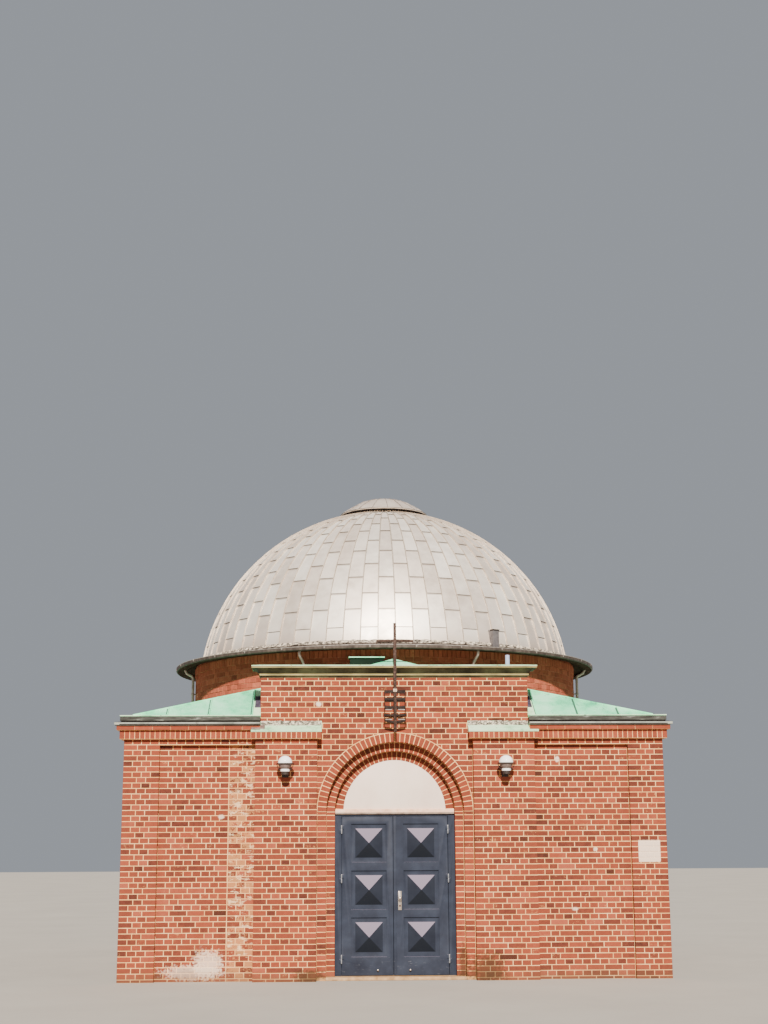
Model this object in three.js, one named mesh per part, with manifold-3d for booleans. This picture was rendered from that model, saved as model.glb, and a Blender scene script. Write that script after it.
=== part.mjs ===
// A small domed funeral chapel of brick, in millimetres, +Z up.
// The origin is on the ground at the middle of the square plan; the entrance faces -Y and +X is to
// its right. Each sub-part is one closed solid in its own named mesh.
import * as THREE from 'three';
import { mergeVertices } from 'three/addons/utils/BufferGeometryUtils.js';
import Module from 'manifold-3d';

const wasm = await Module();
wasm.setup();

// Clearance between a piece and a curved or sloping neighbour
const GAP = 0.3;

// Square plan: corner piers flush with HALF, wall panels set back from them
const HALF = 4000;
const PANEL_SET_BACK = 65;
const PANEL_FACE = HALF - PANEL_SET_BACK;
const WALL = 380;
const INNER = PANEL_FACE - WALL;
const CORNER_PIER = 520;
const PIER_NEAR = 1158;
const PIER_FAR = 2065;
const PIER_FACE = HALF + 65;

// Heights of the walls and of the cornice over them
const PANEL_TOP = 3360;
const WALL_TOP = 3445;
const ROWLOCK_TOP = 3575;
const CORNICE_TOP = 3640;
const ROWLOCK_OUT = 62;
const CORNICE_OUT = 105;
const CORNICE_BACK = 3800;
const COVER_OUT = 140;
const FASCIA_OUT = 50;

// Hipped copper roof around the drum
const EAVE_OUT = 65;
const EAVE_TOP = 3795;
const ROOF_FOOT = 3915;
const ROOF_RISE = 0.2517;
const HIP_TURN = 0.42;
const WING_RISE = ROOF_RISE / HIP_TURN;
const ROOF_THICK = 40;

// Concrete ceiling that carries the drum, and the floor
const SLAB_TOP = CORNICE_TOP;
const FLOOR_TOP = 45;

// Raised entrance block in the middle of the front
const BLOCK_HALF = 2000;
const BLOCK_TOP = 4360;
const BLOCK_CORNICE_EDGE = 4530;
const BLOCK_CORNICE_TOP = 4550;
const BLOCK_CORNICE_OUT = 140;
const BLOCK_SIDE_TOP = 4290;
const PORCH_RIDGE = 4689;
const PORCH_RISE = 0.36;
const PORCH_BEND = 850;
const PORCH_EDGE = 4330;
const PORCH_FRONT = -3920;
const PORCH_APEX = -3600;
const PIER_HEAD_TOP = 3540;
const CAP_OUT = 68;

// Recessed doorway under three brick arches
const SPRING = 2385;
const ARCH_OUTER = 1148;
const ARCH_MIDDLE = 1020;
const ARCH_INNER = 893;
const TYMPANUM = 765;
const MIDDLE_FACE = PANEL_FACE - 120;
const INNER_FACE = PANEL_FACE - 240;
const ARCH_STEPS = 32;
const LINTEL_HALF = 888;
const LINTEL_BOTTOM = 2352;
const LINTEL_TOP = 2425;

// Double door: two leaves that open outwards
const LEAF_FACE = 3700;
const LEAF_THICK = 50;
const LEAF_BOTTOM = 52;
const LEAF_TOP = 2320;
const LEAF_EDGE = 784;
const MEETING_X = -26;
const FRAME_INNER = 790;
const HINGE_X = 790;
const HINGE_Y = -3712;
const HINGE_HEIGHTS = [280, 1422, 2130];
const HINGE_LONG = 120;
const HINGE_RADIUS = 8;
const PANEL_X = 386;
const PANEL_HEIGHTS = [588, 1258, 1934];

// Drum, eaves ring and dome
const DRUM_OUTER = 3310;
const DRUM_INNER = 2930;
const DRUM_TOP = 4915;
const DRUM_CLEAR = DRUM_OUTER + 2;
const SKIRT_TOP = 4985;
const SKIRT_IN = 3189.5;
const SKIRT_OUT = 3488;
const SKIRT_EDGE = 4911.7;
const DOME_CENTRE = 4535;
const DOME_RADIUS = 3220;
const DOME_FLAT = 0.985;
const DOME_THICK = 120;
const OCULUS = 640;
const LANTERN_SEAT = 700;
const GUTTER_UNDER = 4845;
const GUTTER_EDGE = 4900;
const GUTTER_OUT = 3650;
const ROUND_STEPS = 48;

const paint = (color, roughness, metalness = 0) =>
  new THREE.MeshStandardMaterial({ color, roughness, metalness });
const finishes = {
  brick: paint(0xb5654c, 0.9),
  concrete: paint(0xb9b2a6, 0.9),
  render: paint(0xdcd8d4, 0.8),
  stone: paint(0xdfd3c0, 0.85),
  copper: paint(0xa5d2b9, 0.7, 0.2),
  oliveCopper: paint(0x87835f, 0.6, 0.2),
  fascia: paint(0x9a9a92, 0.7, 0.2),
  zinc: paint(0xc5bab1, 0.4, 0.7),
  gutter: paint(0x5c524c, 0.5, 0.5),
  pipe: paint(0xb2aaa2, 0.5, 0.4),
  iron: paint(0x5b4d45, 0.6, 0.6),
  door: paint(0x515a68, 0.45),
  handle: paint(0xc9c6c0, 0.35, 0.8),
  lamp: paint(0xe6e4e0, 0.3),
};

const chapel = new THREE.Group();

function add(name, geometry, finish) {
  const mesh = new THREE.Mesh(geometry, finish);
  mesh.name = name;
  chapel.add(mesh);
}

function toSolid(geometry) {
  const bare = geometry.clone();
  bare.deleteAttribute('normal');
  bare.deleteAttribute('uv');
  const merged = mergeVertices(bare, 1e-3);
  return new wasm.Manifold(new wasm.Mesh({
    numProp: 3,
    vertProperties: new Float32Array(merged.attributes.position.array),
    triVerts: new Uint32Array(merged.index.array),
  }));
}

function toGeometry(solid) {
  const { vertProperties, triVerts } = solid.getMesh();
  const geometry = new THREE.BufferGeometry();
  geometry.setAttribute('position', new THREE.BufferAttribute(new Float32Array(vertProperties), 3));
  geometry.setIndex(new THREE.BufferAttribute(new Uint32Array(triVerts), 1));
  geometry.computeVertexNormals();
  return geometry;
}

function join(geometries) {
  return toGeometry(geometries.map(toSolid).reduce((whole, piece) => whole.add(piece)));
}

function cut(geometry, tools) {
  return toGeometry(tools.map(toSolid).reduce((whole, tool) => whole.subtract(tool), toSolid(geometry)));
}

// A box between two opposite corners, in any order along each axis
function box(x0, x1, y0, y1, z0, z1) {
  const geometry = new THREE.BoxGeometry(Math.abs(x1 - x0), Math.abs(y1 - y0), Math.abs(z1 - z0));
  return geometry.translate((x0 + x1) / 2, (y0 + y1) / 2, (z0 + z1) / 2);
}

function outline(points) {
  return new THREE.Shape(points.map(([x, y]) => new THREE.Vector2(x, y)));
}

// A plan outline raised from z0 to z1
function fromPlan(shape, z0, z1) {
  const options = { depth: z1 - z0, bevelEnabled: false, curveSegments: 24 };
  return new THREE.ExtrudeGeometry(shape, options).translate(0, 0, z0);
}

// A front elevation outline (x, z) run from y0 back to y1
function fromFront(shape, y0, y1) {
  const options = { depth: y1 - y0, bevelEnabled: false, curveSegments: 24 };
  return new THREE.ExtrudeGeometry(shape, options).rotateX(Math.PI / 2).translate(0, y1, 0);
}

// A cross-section (y, z) run along X from x0 to x1
function fromSide(points, x0, x1) {
  const options = { depth: Math.abs(x1 - x0), bevelEnabled: false };
  const turn = new THREE.Matrix4().set(0, 0, 1, Math.min(x0, x1), 1, 0, 0, 0, 0, 1, 0, 0, 0, 0, 0, 1);
  return new THREE.ExtrudeGeometry(outline(points), options).applyMatrix4(turn);
}

function cylinder(radius, z0, z1, sides = 24) {
  const geometry = new THREE.CylinderGeometry(radius, radius, z1 - z0, sides).rotateX(Math.PI / 2);
  return geometry.translate(0, 0, (z0 + z1) / 2);
}

// A closed (radius, z) profile turned about the Z axis
function turned(points, steps) {
  const profile = points.map(([r, z]) => new THREE.Vector2(r, z));
  return new THREE.LatheGeometry(profile, steps).rotateX(Math.PI / 2);
}

function arcPoints(radius, fromAngle, toAngle, steps) {
  return Array.from({ length: steps + 1 }, (_, i) => {
    const angle = fromAngle + ((toAngle - fromAngle) * i) / steps;
    return [radius * Math.cos(angle), radius * Math.sin(angle)];
  });
}

// Stacked rectangles that grow outwards, each level [offset, z], closed at the top and bottom
function steppedBlock(half, front, back, levels) {
  const corners = levels.flatMap(([out, z]) => [
    [-half - out, front - out, z],
    [half + out, front - out, z],
    [half + out, back, z],
    [-half - out, back, z],
  ]);
  const faces = [0, 2, 1, 0, 3, 2];
  for (let level = 0; level < levels.length - 1; level += 1) {
    for (let side = 0; side < 4; side += 1) {
      const a = 4 * level + side;
      const b = 4 * level + ((side + 1) % 4);
      faces.push(a, b, b + 4, a, b + 4, a + 4);
    }
  }
  const top = 4 * (levels.length - 1);
  faces.push(top, top + 1, top + 2, top, top + 2, top + 3);
  const geometry = new THREE.BufferGeometry();
  geometry.setAttribute('position', new THREE.Float32BufferAttribute(corners.flat(), 3));
  geometry.setIndex(faces);
  geometry.computeVertexNormals();
  return geometry;
}

// Walls: corner piers and pilasters stand proud of the panels, up to the band over the panels
const proudBays = [[-HALF, -HALF + CORNER_PIER], [-PIER_FAR, -PIER_NEAR], [PIER_NEAR, PIER_FAR],
  [HALF - CORNER_PIER, HALF]];

function wallOutline(from, to) {
  const points = [[from, INNER]];
  for (const [start, end] of proudBays) {
    const a = Math.max(start, from);
    const b = Math.min(end, to);
    if (start > from) points.push([a, PANEL_FACE]);
    points.push([a, HALF], [b, HALF]);
    if (end < to) points.push([b, PANEL_FACE]);
  }
  points.push([to, INNER]);
  return points;
}

function plainWall(from, to, place) {
  const wall = fromPlan(outline(wallOutline(from, to).map(place)), 0, WALL_TOP);
  const band = outline([[from, PANEL_FACE - 10], [from, HALF], [to, HALF], [to, PANEL_FACE - 10]].map(place));
  return join([wall, fromPlan(band, PANEL_TOP, WALL_TOP)]);
}

function buildWalls() {
  add('left_wall', plainWall(-INNER, INNER, ([t, d]) => [-d, t]), finishes.brick);
  add('right_wall', plainWall(-INNER, INNER, ([t, d]) => [d, t]), finishes.brick);
  add('back_wall', plainWall(-HALF, HALF, ([t, d]) => [t, d]), finishes.brick);
  for (const [side, s] of [['left', -1], ['right', 1]]) {
    const pierEdge = HALF - CORNER_PIER;
    const plan = [[HALF, -HALF], [pierEdge, -HALF], [pierEdge, -PANEL_FACE], [PIER_FAR, -PANEL_FACE],
      [PIER_FAR, -INNER], [HALF, -INNER]].map(([x, y]) => [s * x, y]);
    const band = box(s * PIER_FAR, s * HALF, -HALF, -PANEL_FACE + 10, PANEL_TOP, WALL_TOP);
    add(`front_wall_${side}`, join([fromPlan(outline(plan), 0, WALL_TOP), band]), finishes.brick);
    const shaft = box(s * PIER_NEAR, s * PIER_FAR, -PIER_FACE, -INNER, 0, WALL_TOP);
    const neck = box(s * PIER_NEAR, s * PIER_FAR, -PIER_FACE, -PANEL_FACE, WALL_TOP - 1, PIER_HEAD_TOP);
    const head = box(s * (PIER_NEAR - ROWLOCK_OUT), s * (PIER_FAR + ROWLOCK_OUT), -PIER_FACE - ROWLOCK_OUT,
      -PANEL_FACE, WALL_TOP, PIER_HEAD_TOP);
    add(`entrance_pier_${side}`, join([shaft, neck, head]), finishes.brick);
  }
}

// Entrance block: wall over the doorway with two short side walls back to the drum
function buildBlock() {
  const front = new THREE.Shape();
  front.moveTo(-PIER_NEAR, SPRING);
  front.lineTo(-PIER_NEAR, WALL_TOP);
  front.lineTo(-BLOCK_HALF, WALL_TOP);
  front.lineTo(-BLOCK_HALF, BLOCK_TOP);
  front.lineTo(BLOCK_HALF, BLOCK_TOP);
  front.lineTo(BLOCK_HALF, WALL_TOP);
  front.lineTo(PIER_NEAR, WALL_TOP);
  front.lineTo(PIER_NEAR, SPRING);
  for (const [x, z] of arcPoints(ARCH_OUTER, 0, Math.PI, ARCH_STEPS)) {
    front.lineTo(x, z + SPRING);
  }
  add('entrance_wall', fromFront(front, -PANEL_FACE, -INNER), finishes.brick);

  const sideInner = BLOCK_HALF - WALL;
  for (const [side, s] of [['left', -1], ['right', 1]]) {
    const start = -Math.acos(sideInner / DRUM_CLEAR);
    const end = -Math.acos(BLOCK_HALF / DRUM_CLEAR);
    const plan = [[BLOCK_HALF, -INNER], [sideInner, -INNER], ...arcPoints(DRUM_CLEAR, start, end, 6)];
    const shape = outline(plan.map(([x, y]) => [s * x, y]));
    add(`block_side_wall_${side}`, fromPlan(shape, SLAB_TOP, BLOCK_SIDE_TOP), finishes.brick);
  }

  // Sheet copper moulding: plain foot, fillet, hollow, upper edge, then a weathered top
  const hollowStart = 38;
  const hollowOut = 88;
  const hollowRise = 70;
  const hollowSteps = 6;
  const levels = [[8, 0], [8, 22], [30, 24], [34, 62]];
  for (let i = 0; i <= hollowSteps; i += 1) {
    const angle = (Math.PI / 2) * (i / hollowSteps);
    levels.push([hollowStart + hollowOut * (1 - Math.cos(angle)), 64 + hollowRise * Math.sin(angle)]);
  }
  levels.push([BLOCK_CORNICE_OUT, 136]);
  const profile = levels.map(([out, rise]) => [out, BLOCK_TOP + rise]);
  profile.push([BLOCK_CORNICE_OUT, BLOCK_CORNICE_EDGE], [20, BLOCK_CORNICE_TOP]);
  add('entrance_cornice', steppedBlock(BLOCK_HALF, -PANEL_FACE, -INNER, profile), finishes.oliveCopper);

  // Low roof behind and on the cornice, its ridge running back to the drum and hipped at the front
  const half = BLOCK_HALF - GAP;
  const slopeAt = (x) => PORCH_RIDGE - PORCH_RISE * x;
  const ridge = [[PORCH_BEND, slopeAt(PORCH_BEND)], [0, PORCH_RIDGE], [-PORCH_BEND, slopeAt(PORCH_BEND)]];
  const gable = outline([[-half, BLOCK_SIDE_TOP + GAP], [half, BLOCK_SIDE_TOP + GAP], [half, PORCH_EDGE],
    ...ridge, [-half, PORCH_EDGE]]);
  const behind = fromFront(gable, -INNER + GAP, -2500);
  const seat = BLOCK_CORNICE_TOP + GAP;
  const seatHalf = (PORCH_RIDGE - seat) / PORCH_RISE;
  const hipCut = [[PORCH_FRONT - 80, seat - GAP], [PORCH_FRONT, seat], [PORCH_APEX, PORCH_RIDGE],
    [PORCH_APEX, 5000], [PORCH_FRONT - 80, 5000]];
  const before = cut(fromFront(outline([[-seatHalf, seat], [seatHalf, seat], [0, PORCH_RIDGE]]),
    PORCH_FRONT, -INNER + 20), [fromSide(hipCut, -3000, 3000)]);
  add('entrance_roof', cut(join([behind, before]), [cylinder(DRUM_CLEAR, 4000, 5200, 100)]), finishes.copper);

  // Small roof hatch on the slope of that roof, and a vent pipe that stands on the cornice top
  const hatchLeft = -665;
  const hatchRight = -150;
  const hatchTop = 4692;
  const hatchFace = -3605;
  const lidOver = 15;
  const hatch = outline([[hatchLeft, seat], [-seatHalf, seat], [hatchRight, slopeAt(-hatchRight) + 1],
    [hatchRight, hatchTop], [hatchLeft, hatchTop]]);
  const lid = box(hatchLeft - lidOver, hatchRight + lidOver, hatchFace - lidOver, -3415, hatchTop - 2, 4715);
  add('roof_hatch', join([fromFront(hatch, hatchFace, -3575), fromFront(hatch, -3576, -INNER - 1), lid]),
    finishes.copper);
  const pipeRadius = 33;
  const pipeTop = 4728;
  add('roof_pipe', cylinder(pipeRadius, BLOCK_CORNICE_TOP, pipeTop, 16).translate(1740, -3700, 0),
    finishes.lamp);

  // Flat dark sheet on each wing roof, close beside the block
  for (const [side, s] of [['left', -1], ['right', 1]]) {
    const wingTop = (y) => EAVE_TOP + (ROOF_FOOT + y) * WING_RISE + GAP;
    const foot = -3685;
    const head = -3379;
    const thick = 22;
    const section = [[foot, wingTop(foot)], [head, wingTop(head)], [head, wingTop(head) + thick],
      [foot, wingTop(foot) + thick]];
    add(`side_sheet_${side}`, fromSide(section, s * (BLOCK_HALF + GAP), s * (BLOCK_HALF + 102)),
      finishes.gutter);
  }

  // Sloping copper cap on each entrance pier, turned up against the wall
  for (const [side, s] of [['left', -1], ['right', 1]]) {
    const lip = PIER_FACE + ROWLOCK_OUT + 7;
    const plate = box(s * (PIER_NEAR - CAP_OUT), s * (PIER_FAR + CAP_OUT), -lip, -PANEL_FACE - GAP,
      PIER_HEAD_TOP, ROWLOCK_TOP - GAP);
    const upturn = 3715;
    const slopeHead = 3650;
    const slopeFoot = 3585;
    const slope = [[-lip, PIER_HEAD_TOP], [-PANEL_FACE - GAP, PIER_HEAD_TOP], [-PANEL_FACE - GAP, upturn],
      [-PANEL_FACE - 10, upturn], [-PANEL_FACE - 10, slopeHead], [-lip, slopeFoot]];
    const over = fromSide(slope, s * (PIER_NEAR - CAP_OUT), s * (BLOCK_HALF - GAP));
    add(`pier_cap_${side}`, join([plate, over]), finishes.copper);
  }
}

// Doorway: stepped jambs, three arches, a smooth panel under them, lintel and threshold
function ringShape(outer, inner, foot) {
  const lift = foot - SPRING;
  const a = Math.asin(lift / outer);
  const b = Math.asin(lift / inner);
  const points = [...arcPoints(outer, a, Math.PI - a, ARCH_STEPS),
    ...arcPoints(inner, Math.PI - b, b, ARCH_STEPS)];
  return outline(points.map(([x, z]) => [x, z + SPRING]));
}

function buildDoorway() {
  for (const [side, s] of [['left', -1], ['right', 1]]) {
    const plan = [[PIER_NEAR, -PANEL_FACE], [ARCH_MIDDLE, -PANEL_FACE], [ARCH_MIDDLE, -MIDDLE_FACE],
      [ARCH_INNER, -MIDDLE_FACE], [ARCH_INNER, -INNER], [PIER_NEAR, -INNER]];
    add(`door_jamb_${side}`, fromPlan(outline(plan.map(([x, y]) => [s * x, y])), 0, SPRING), finishes.brick);
  }
  add('outer_arch', fromFront(ringShape(ARCH_OUTER - GAP, ARCH_MIDDLE + GAP, SPRING), -PANEL_FACE, -INNER),
    finishes.brick);
  add('middle_arch', fromFront(ringShape(ARCH_MIDDLE - GAP, ARCH_INNER + GAP, SPRING), -MIDDLE_FACE, -INNER),
    finishes.brick);
  add('inner_arch', fromFront(ringShape(ARCH_INNER - 5 * GAP, TYMPANUM, LINTEL_TOP), -INNER_FACE, -INNER),
    finishes.brick);
  const radius = TYMPANUM - 2 * GAP;
  const a = Math.asin((LINTEL_TOP - SPRING) / radius);
  const panel = outline(arcPoints(radius, a, Math.PI - a, ARCH_STEPS).map(([x, z]) => [x, z + SPRING]));
  add('tympanum', fromFront(panel, -INNER_FACE, -INNER_FACE + 60), finishes.render);
  add('lintel', box(-LINTEL_HALF, LINTEL_HALF, -INNER_FACE - 30, -INNER, LINTEL_BOTTOM, LINTEL_TOP),
    finishes.stone);
  const stepFace = -PANEL_FACE - 15;
  const step = [[-ARCH_MIDDLE, stepFace], [ARCH_MIDDLE, stepFace], [ARCH_MIDDLE, -MIDDLE_FACE],
    [ARCH_INNER, -MIDDLE_FACE], [ARCH_INNER, -INNER], [-ARCH_INNER, -INNER], [-ARCH_INNER, -MIDDLE_FACE],
    [-ARCH_MIDDLE, -MIDDLE_FACE]];
  add('threshold', fromPlan(outline(step), 0, FLOOR_TOP), finishes.stone);
}

// Half a hinge: a knuckle on the axis with a plate on the face of the frame or of the leaf
function hingeHalf(s, plateFrom, plateTo, z0, z1) {
  const knuckle = cylinder(HINGE_RADIUS, z0, z1, 16).translate(s * HINGE_X, HINGE_Y, 0);
  const plate = box(s * (HINGE_X + plateFrom), s * (HINGE_X + plateTo), -LEAF_FACE - 7, -LEAF_FACE + 1,
    z0, z1);
  return [knuckle, plate];
}

function buildDoor() {
  const stopFace = LEAF_FACE - LEAF_THICK - 10;
  const stopBack = stopFace - 40;
  const frame = [];
  for (const s of [-1, 1]) {
    frame.push(box(s * FRAME_INNER, s * ARCH_INNER, -LEAF_FACE, -stopFace + 1, FLOOR_TOP, LINTEL_BOTTOM));
    frame.push(box(s * (FRAME_INNER - 32), s * ARCH_INNER, -stopFace, -stopBack, FLOOR_TOP, LINTEL_BOTTOM));
  }
  frame.push(box(-FRAME_INNER - 5, FRAME_INNER + 5, -LEAF_FACE, -stopFace + 1, LEAF_TOP + 6, LINTEL_BOTTOM));
  frame.push(box(-FRAME_INNER - 5, FRAME_INNER + 5, -stopFace, -stopBack, LEAF_TOP - 30, LINTEL_BOTTOM));
  for (const s of [-1, 1]) {
    for (const z of HINGE_HEIGHTS) {
      frame.push(...hingeHalf(s, 0, 28, z - HINGE_LONG / 2, z));
    }
  }
  add('door_frame', join(frame), finishes.door);

  for (const [side, s] of [['left', -1], ['right', 1]]) {
    const meeting = s < 0 ? MEETING_X - 3 : MEETING_X + 3;
    const slab = box(s * LEAF_EDGE, meeting, -LEAF_FACE, -LEAF_FACE + LEAF_THICK, LEAF_BOTTOM, LEAF_TOP);
    const recess = 15;
    const pocketHalf = 260;
    const pocketHalfHigh = 277;
    const pockets = PANEL_HEIGHTS.map((z) => box(s * PANEL_X - pocketHalf, s * PANEL_X + pocketHalf,
      -LEAF_FACE - 5, -LEAF_FACE + recess, z - pocketHalfHigh, z + pocketHalfHigh));
    const pointWide = 414;
    const pointHigh = 434;
    const pointDeep = 72;
    const points = PANEL_HEIGHTS.map((z) => {
      const pyramid = new THREE.ConeGeometry(Math.SQRT1_2, 1, 4, 1).rotateY(Math.PI / 4);
      pyramid.scale(pointWide, pointDeep, pointHigh).rotateX(Math.PI);
      return pyramid.translate(s * PANEL_X, -LEAF_FACE + recess + 2 - pointDeep / 2, z);
    });
    const hinges = HINGE_HEIGHTS.flatMap((z) => hingeHalf(s, -4, -36, z + GAP, z + HINGE_LONG / 2));
    const meetingStrip = box(MEETING_X + 3, 20, -LEAF_FACE - 10, -LEAF_FACE + 1, LEAF_BOTTOM, LEAF_TOP);
    const strip = s > 0 ? [meetingStrip] : [];
    const leaf = toSolid(cut(slab, pockets));
    const whole = [...points, ...hinges, ...strip].map(toSolid).reduce((sum, piece) => sum.add(piece), leaf);
    add(`door_leaf_${side}`, toGeometry(whole), finishes.door);
  }

  // Long plate with a round knob
  const plateX = 69;
  const plateHalf = 25;
  const knobHeight = 1140;
  const knobRadius = 24;
  const plate = box(plateX - plateHalf, plateX + plateHalf, -LEAF_FACE - 8, -LEAF_FACE - GAP, 970, 1240);
  const stem = cylinder(9, 0, 50, 12).rotateX(Math.PI / 2).translate(plateX, -LEAF_FACE - 5, knobHeight);
  const knob = new THREE.SphereGeometry(knobRadius, 16, 10).scale(1, 0.7, 1)
    .translate(plateX, -LEAF_FACE - 58, knobHeight);
  add('door_handle', join([plate, stem, knob]), finishes.handle);
}

// Cornice, its copper cover, the eaves fascia and the wing roofs run round from the entrance block
function aroundPlan(outer, inner, notch) {
  return outline([[-notch, -outer], [-outer, -outer], [-outer, outer], [outer, outer], [outer, -outer],
    [notch, -outer], [notch, -inner], [inner, -inner], [inner, inner], [-inner, inner], [-inner, -inner],
    [-notch, -inner]]);
}

// A section [distance from the centre, z] swept round three sides and the two wing fronts, mitred
function sweptAround(section, notch) {
  const path = [[-notch, -1], [-1, -1], [-1, 1], [1, 1], [1, -1], [notch, -1]];
  const rings = path.map(([px, py], i) => section.map(([d, z]) => {
    const x = i === 0 || i === path.length - 1 ? px : px * d;
    return [x, py * d, z];
  }));
  return closedSweep(rings, section);
}

// Part of a turned shape, between two angles about the Z axis
function turnedPart(section, from, to, steps) {
  const rings = Array.from({ length: steps + 1 }, (_, i) => {
    const angle = to + ((from - to) * i) / steps;
    return section.map(([r, z]) => [r * Math.cos(angle), r * Math.sin(angle), z]);
  });
  return closedSweep(rings, section);
}

// Skin over rings of points, closed at both ends by the flat section
function closedSweep(rings, section) {
  const count = section.length;
  const flat = THREE.ShapeUtils.triangulateShape(section.map(([d, z]) => new THREE.Vector2(d, z)), []);
  const faces = [];
  for (let i = 0; i < rings.length - 1; i += 1) {
    for (let j = 0; j < count; j += 1) {
      const a = i * count + j;
      const b = i * count + ((j + 1) % count);
      faces.push(a, b, a + count, b, b + count, a + count);
    }
  }
  const last = (rings.length - 1) * count;
  for (const [a, b, c] of flat) {
    faces.push(a, c, b, last + a, last + b, last + c);
  }
  const geometry = new THREE.BufferGeometry();
  geometry.setAttribute('position', new THREE.Float32BufferAttribute(rings.flat(2), 3));
  geometry.setIndex(faces);
  geometry.computeVertexNormals();
  return geometry;
}

function buildEaves() {
  const rowlock = aroundPlan(HALF + ROWLOCK_OUT, CORNICE_BACK, PIER_FAR + CAP_OUT + GAP);
  const topCourse = aroundPlan(HALF + CORNICE_OUT, CORNICE_BACK, BLOCK_HALF);
  add('brick_cornice', join([fromPlan(rowlock, WALL_TOP, ROWLOCK_TOP + 1),
    fromPlan(topCourse, ROWLOCK_TOP, CORNICE_TOP)]), finishes.brick);

  const cover = HALF + COVER_OUT;
  const fascia = HALF + FASCIA_OUT;
  const notch = BLOCK_HALF + GAP;
  add('cornice_cover', sweptAround([[fascia + GAP, CORNICE_TOP], [HALF + CORNICE_OUT, CORNICE_TOP],
    [HALF + CORNICE_OUT + 8, CORNICE_TOP + 10], [cover, CORNICE_TOP + 10], [cover, CORNICE_TOP + 45],
    [fascia + GAP, CORNICE_TOP + 62]], notch), finishes.copper);
  const fasciaTop = EAVE_TOP - ROOF_THICK - GAP;
  add('eaves_fascia', sweptAround([[PANEL_FACE, CORNICE_TOP], [fascia, CORNICE_TOP],
    [fascia, fasciaTop], [PANEL_FACE, fasciaTop]], notch), finishes.fascia);

  // Each roof has a flat border along the eaves, then its slope up to the drum or a hip
  const eave = HALF + EAVE_OUT;
  const foot = ROOF_FOOT;
  const blockAngle = Math.acos(notch / DRUM_CLEAR);
  const hipEnd = -foot + (foot - notch) * HIP_TURN;
  const roofs = {
    roof_right: [[foot, -foot + GAP], [foot, foot - GAP],
      ...arcPoints(DRUM_CLEAR, Math.PI * 0.25 - 1e-4, -blockAngle, 32), [notch, hipEnd + GAP]],
    roof_back: [[foot - GAP, foot], [-foot + GAP, foot],
      ...arcPoints(DRUM_CLEAR, Math.PI * 0.75 - 1e-4, Math.PI * 0.25 + 1e-4, 24)],
    roof_front_right: [[notch, -foot], [foot - GAP, -foot], [notch, hipEnd]],
  };
  const borders = {
    roof_right: [[eave, -eave + GAP], [eave, eave - GAP], [foot, foot - GAP], [foot, -foot + GAP]],
    roof_back: [[eave - GAP, eave], [-eave + GAP, eave], [-foot + GAP, foot], [foot - GAP, foot]],
    roof_front_right: [[notch, -eave], [eave - GAP, -eave], [foot - GAP, -foot], [notch, -foot]],
  };
  for (const plans of [roofs, borders]) {
    plans.roof_left = plans.roof_right.map(([x, y]) => [-x, y]);
    plans.roof_front_left = plans.roof_front_right.map(([x, y]) => [-x, y]);
  }
  const away = {
    roof_left: (x) => -x,
    roof_right: (x) => x,
    roof_back: (x, y) => y,
    roof_front_right: (x, y) => -y,
    roof_front_left: (x, y) => -y,
  };
  for (const [name, plan] of Object.entries(roofs)) {
    const geometry = fromPlan(outline(plan), 0, 1);
    const position = geometry.attributes.position;
    const slope = name.includes('front') ? WING_RISE : ROOF_RISE;
    for (let i = 0; i < position.count; i += 1) {
      const inward = foot - away[name](position.getX(i), position.getY(i));
      const under = position.getZ(i) < 0.5;
      position.setZ(i, EAVE_TOP + (under ? inward * ROOF_RISE - ROOF_THICK : inward * slope));
    }
    const border = fromPlan(outline(borders[name]), EAVE_TOP - ROOF_THICK, EAVE_TOP);
    add(name, join([geometry, border]), finishes.copper);
  }
}

function buildFloors() {
  add('floor', box(-INNER, INNER, -INNER, INNER, 0, FLOOR_TOP), finishes.concrete);
  const edge = CORNICE_BACK;
  const slab = outline([[-edge, -edge], [-BLOCK_HALF - GAP, -edge], [-BLOCK_HALF - GAP, -INNER],
    [BLOCK_HALF + GAP, -INNER], [BLOCK_HALF + GAP, -edge], [edge, -edge], [edge, edge], [-edge, edge]]);
  const hole = new THREE.Path();
  hole.absarc(0, 0, DRUM_INNER, 0, Math.PI * 2, true);
  slab.holes.push(hole);
  add('ceiling_slab', fromPlan(slab, WALL_TOP, SLAB_TOP), finishes.concrete);
}

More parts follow.
